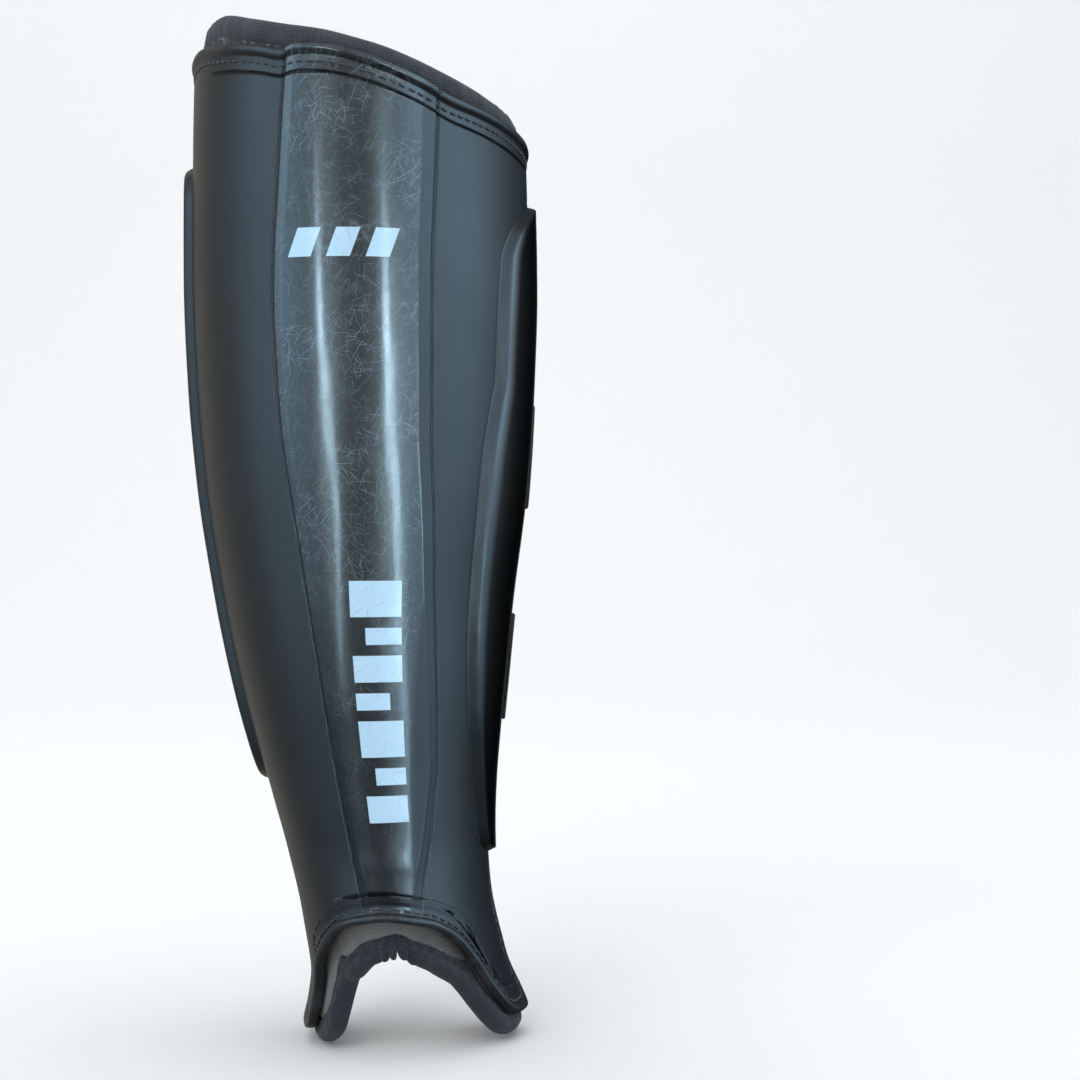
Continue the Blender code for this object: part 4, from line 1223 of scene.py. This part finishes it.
def straps():
    for level in STRAP_HEIGHTS:
        elastic(level)
        pull_tab(level)
        anchor_stitches(level)
        patch(f"{level}_hook_strip", level, HOOK_REACH, HOOK_FACE, HOOK_THICK, "hook_tape",
              f"{level}_hook_pad", f"{level}_tab")
        patch(f"{level}_loop_strip", level, LOOP_REACH, LOOP_FACE, LOOP_THICK, "loop_tape",
              f"{level}_loop_patch", "guard")


# ---------------------------------------------------------------- camera, floor and light

def camera():
    made = bpy.data.objects.new("camera", bpy.data.cameras.new("camera"))
    bpy.context.scene.collection.objects.link(made)
    made.location = CAMERA_PLACE
    made.rotation_euler = (math.pi / 2, 0, 0)
    made.data.lens = CAMERA_LENS
    made.data.sensor_width = 36.0
    bpy.context.scene.camera = made


def backdrop():
    """A pale floor that curves up into a wall behind the guard."""
    floor = CAD_BOX[0].z - FLOOR_DROP
    radius, back, front, wide, tall = 0.6, 1.1, -2.4, 3.0, 2.4
    turns = np.linspace(0, math.pi / 2, 24)
    line = [(front, floor)]
    line += [(back + radius * math.sin(t), floor + radius * (1 - math.cos(t))) for t in turns]
    line.append((back + radius, floor + tall))
    points = np.array([[(x, y, z) for y, z in line] for x in (-wide, wide)])
    made = surface("sweep", points, points[..., :2])
    made.data.materials.append(Finish("pale_sweep", Base_Color=(0.95, 0.95, 0.95, 1), Roughness=0.9).material)
    made.visible_glossy = False


def area_light(name, place, aim, size, power, colour):
    """A soft light that lights cloth and floor but isn't seen in the gloss."""
    data = bpy.data.lights.new(name, "AREA")
    data.shape = "RECTANGLE"
    data.size, data.size_y = size
    data.energy = power
    data.color = colour
    made = bpy.data.objects.new(name, data)
    bpy.context.scene.collection.objects.link(made)
    made.location = place
    made.rotation_euler = (Vector(aim) - Vector(place)).to_track_quat("-Z", "Y").to_euler()
    made.visible_camera = made.visible_glossy = False


def around(azimuth, distance, height):
    """A place round the guard: azimuth 0 is in front of it and grows towards +X."""
    turn = math.radians(azimuth)
    return (distance * math.sin(turn), -distance * math.cos(turn), height)


# The strip softboxes, as azimuth, height and share of power from their top ends down.
STRIP_DISTANCE, STRIP_WIDTH, STRIP_RADIANCE = 1.61, 0.050, 130.0
# The room's light: on cloth and floor, and in gloss low down, high up and behind.
SKY, LOW_LIGHT, HIGH_LIGHT, REAR_LIGHT = 0.62, 0.10, 3.0, 0.60
LEFT_STRIP = ((-23.9, 0.52, 0.0), (-23.4, 0.45, 0.25), (-22.6, 0.40, 0.95), (-21.3, 0.335, 1.15),
              (-16.0, 0.26, 1.0), (-11.9, 0.19, 0.55), (-12.4, 0.12, 0.30), (-16.5, -0.01, 0.20))
RIGHT_STRIP = ((24.0, 0.52, 0.0), (24.4, 0.45, 0.35), (25.1, 0.40, 1.2), (27.0, 0.33, 1.4),
               (34.6, 0.215, 1.2), (38.0, 0.15, 0.85), (41.5, 0.09, 0.60), (50.5, -0.02, 0.45))


def strip(name, line, strength):
    """A bent strip softbox, seen in gloss only."""
    half = math.degrees(STRIP_WIDTH / 2 / STRIP_DISTANCE)
    points = np.array([[around(azimuth + side * half, STRIP_DISTANCE, height) for side in SIDES]
                       for azimuth, height, _ in line])
    power = np.array([[share] for _, _, share in line])
    made = surface(name, points, points[..., :2], values={"power": power})
    f = Finish(name, Base_Color=(0, 0, 0, 1), Emission_Color=(0.58, 0.84, 1.0, 1))
    f.set(f.shader.inputs["Emission Strength"], f.times(f.stored("power"), strength))
    made.data.materials.append(f.material)
    made.visible_camera = made.visible_diffuse = made.visible_shadow = False


def studio_sky():
    """Even light for cloth and floor; for gloss, a room bright at the sides and dim in front and low down."""
    world = bpy.data.worlds.new("studio")
    bpy.context.scene.world = world
    world.use_nodes = True
    g = Graph(world.node_tree)
    back = g.tree.nodes["Background"]
    direction = g.node("TexCoord", "Generated")
    x, y, z = g.split(direction)
    on_right = g.band(x, -0.25, 0.25)
    right = g.times(g.band(y, 0.75, -0.15), g.band(x, 0.45, 0.95, 0.45, 2.0))
    left = g.times(g.band(y, 0.35, -0.50), g.band(x, -0.40, -0.90, 0.48, 1.7))
    front = g.math("MULTIPLY_ADD", g.math("SUBTRACT", right, left), on_right, left)
    lift = g.band(z, -0.26, 0.20, LOW_LIGHT, HIGH_LIGHT)
    blue = g.mix(front, (0.64, 0.62, 0.54, 1), (0.50, 0.78, 1.0, 1))
    rear = g.math("MULTIPLY_ADD", on_right, -REAR_LIGHT, REAR_LIGHT)
    rear = g.times(rear, g.band(y, 0.1, 0.8, 0.55, 1.3))
    strength = g.math("MAXIMUM", g.times(front, lift), rear)
    path = g.tree.nodes.new("ShaderNodeLightPath")
    glossy = path.outputs["Is Glossy Ray"]
    g.set(back.inputs["Color"], g.mix(glossy, (0.93, 0.97, 1.0, 1), blue))
    g.set(back.inputs["Strength"], g.math("MULTIPLY_ADD", g.math("SUBTRACT", strength, SKY), glossy, SKY))


def lighting():
    studio_sky()
    strip("left_softbox", LEFT_STRIP, STRIP_RADIANCE)
    strip("right_softbox", RIGHT_STRIP, STRIP_RADIANCE)
    area_light("soft_key", around(-30, 1.8, 1.3), (0, 0, 0.15), (1.6, 1.2), 12.0, (1.0, 0.98, 0.95))
    area_light("soft_top", (0.0, 0.3, 2.0), (0, 0.2, 0.1), (1.8, 1.8), 16.0, (1.0, 1.0, 1.0))


moulded_shell()
soft_layers()
rim_tape("top_rim_tape", True, "top_binding", "twill")
rim_tape("ankle_arch_tape", False, "bottom_binding", "binding")
edge_tape("lateral_edge_tape", -1, "lateral_binding")
edge_tape("medial_edge_tape", 1, "medial_binding")
stitching()
prints()
straps()
camera()
backdrop()
lighting()
bpy.context.scene.view_settings.view_transform = "Standard"
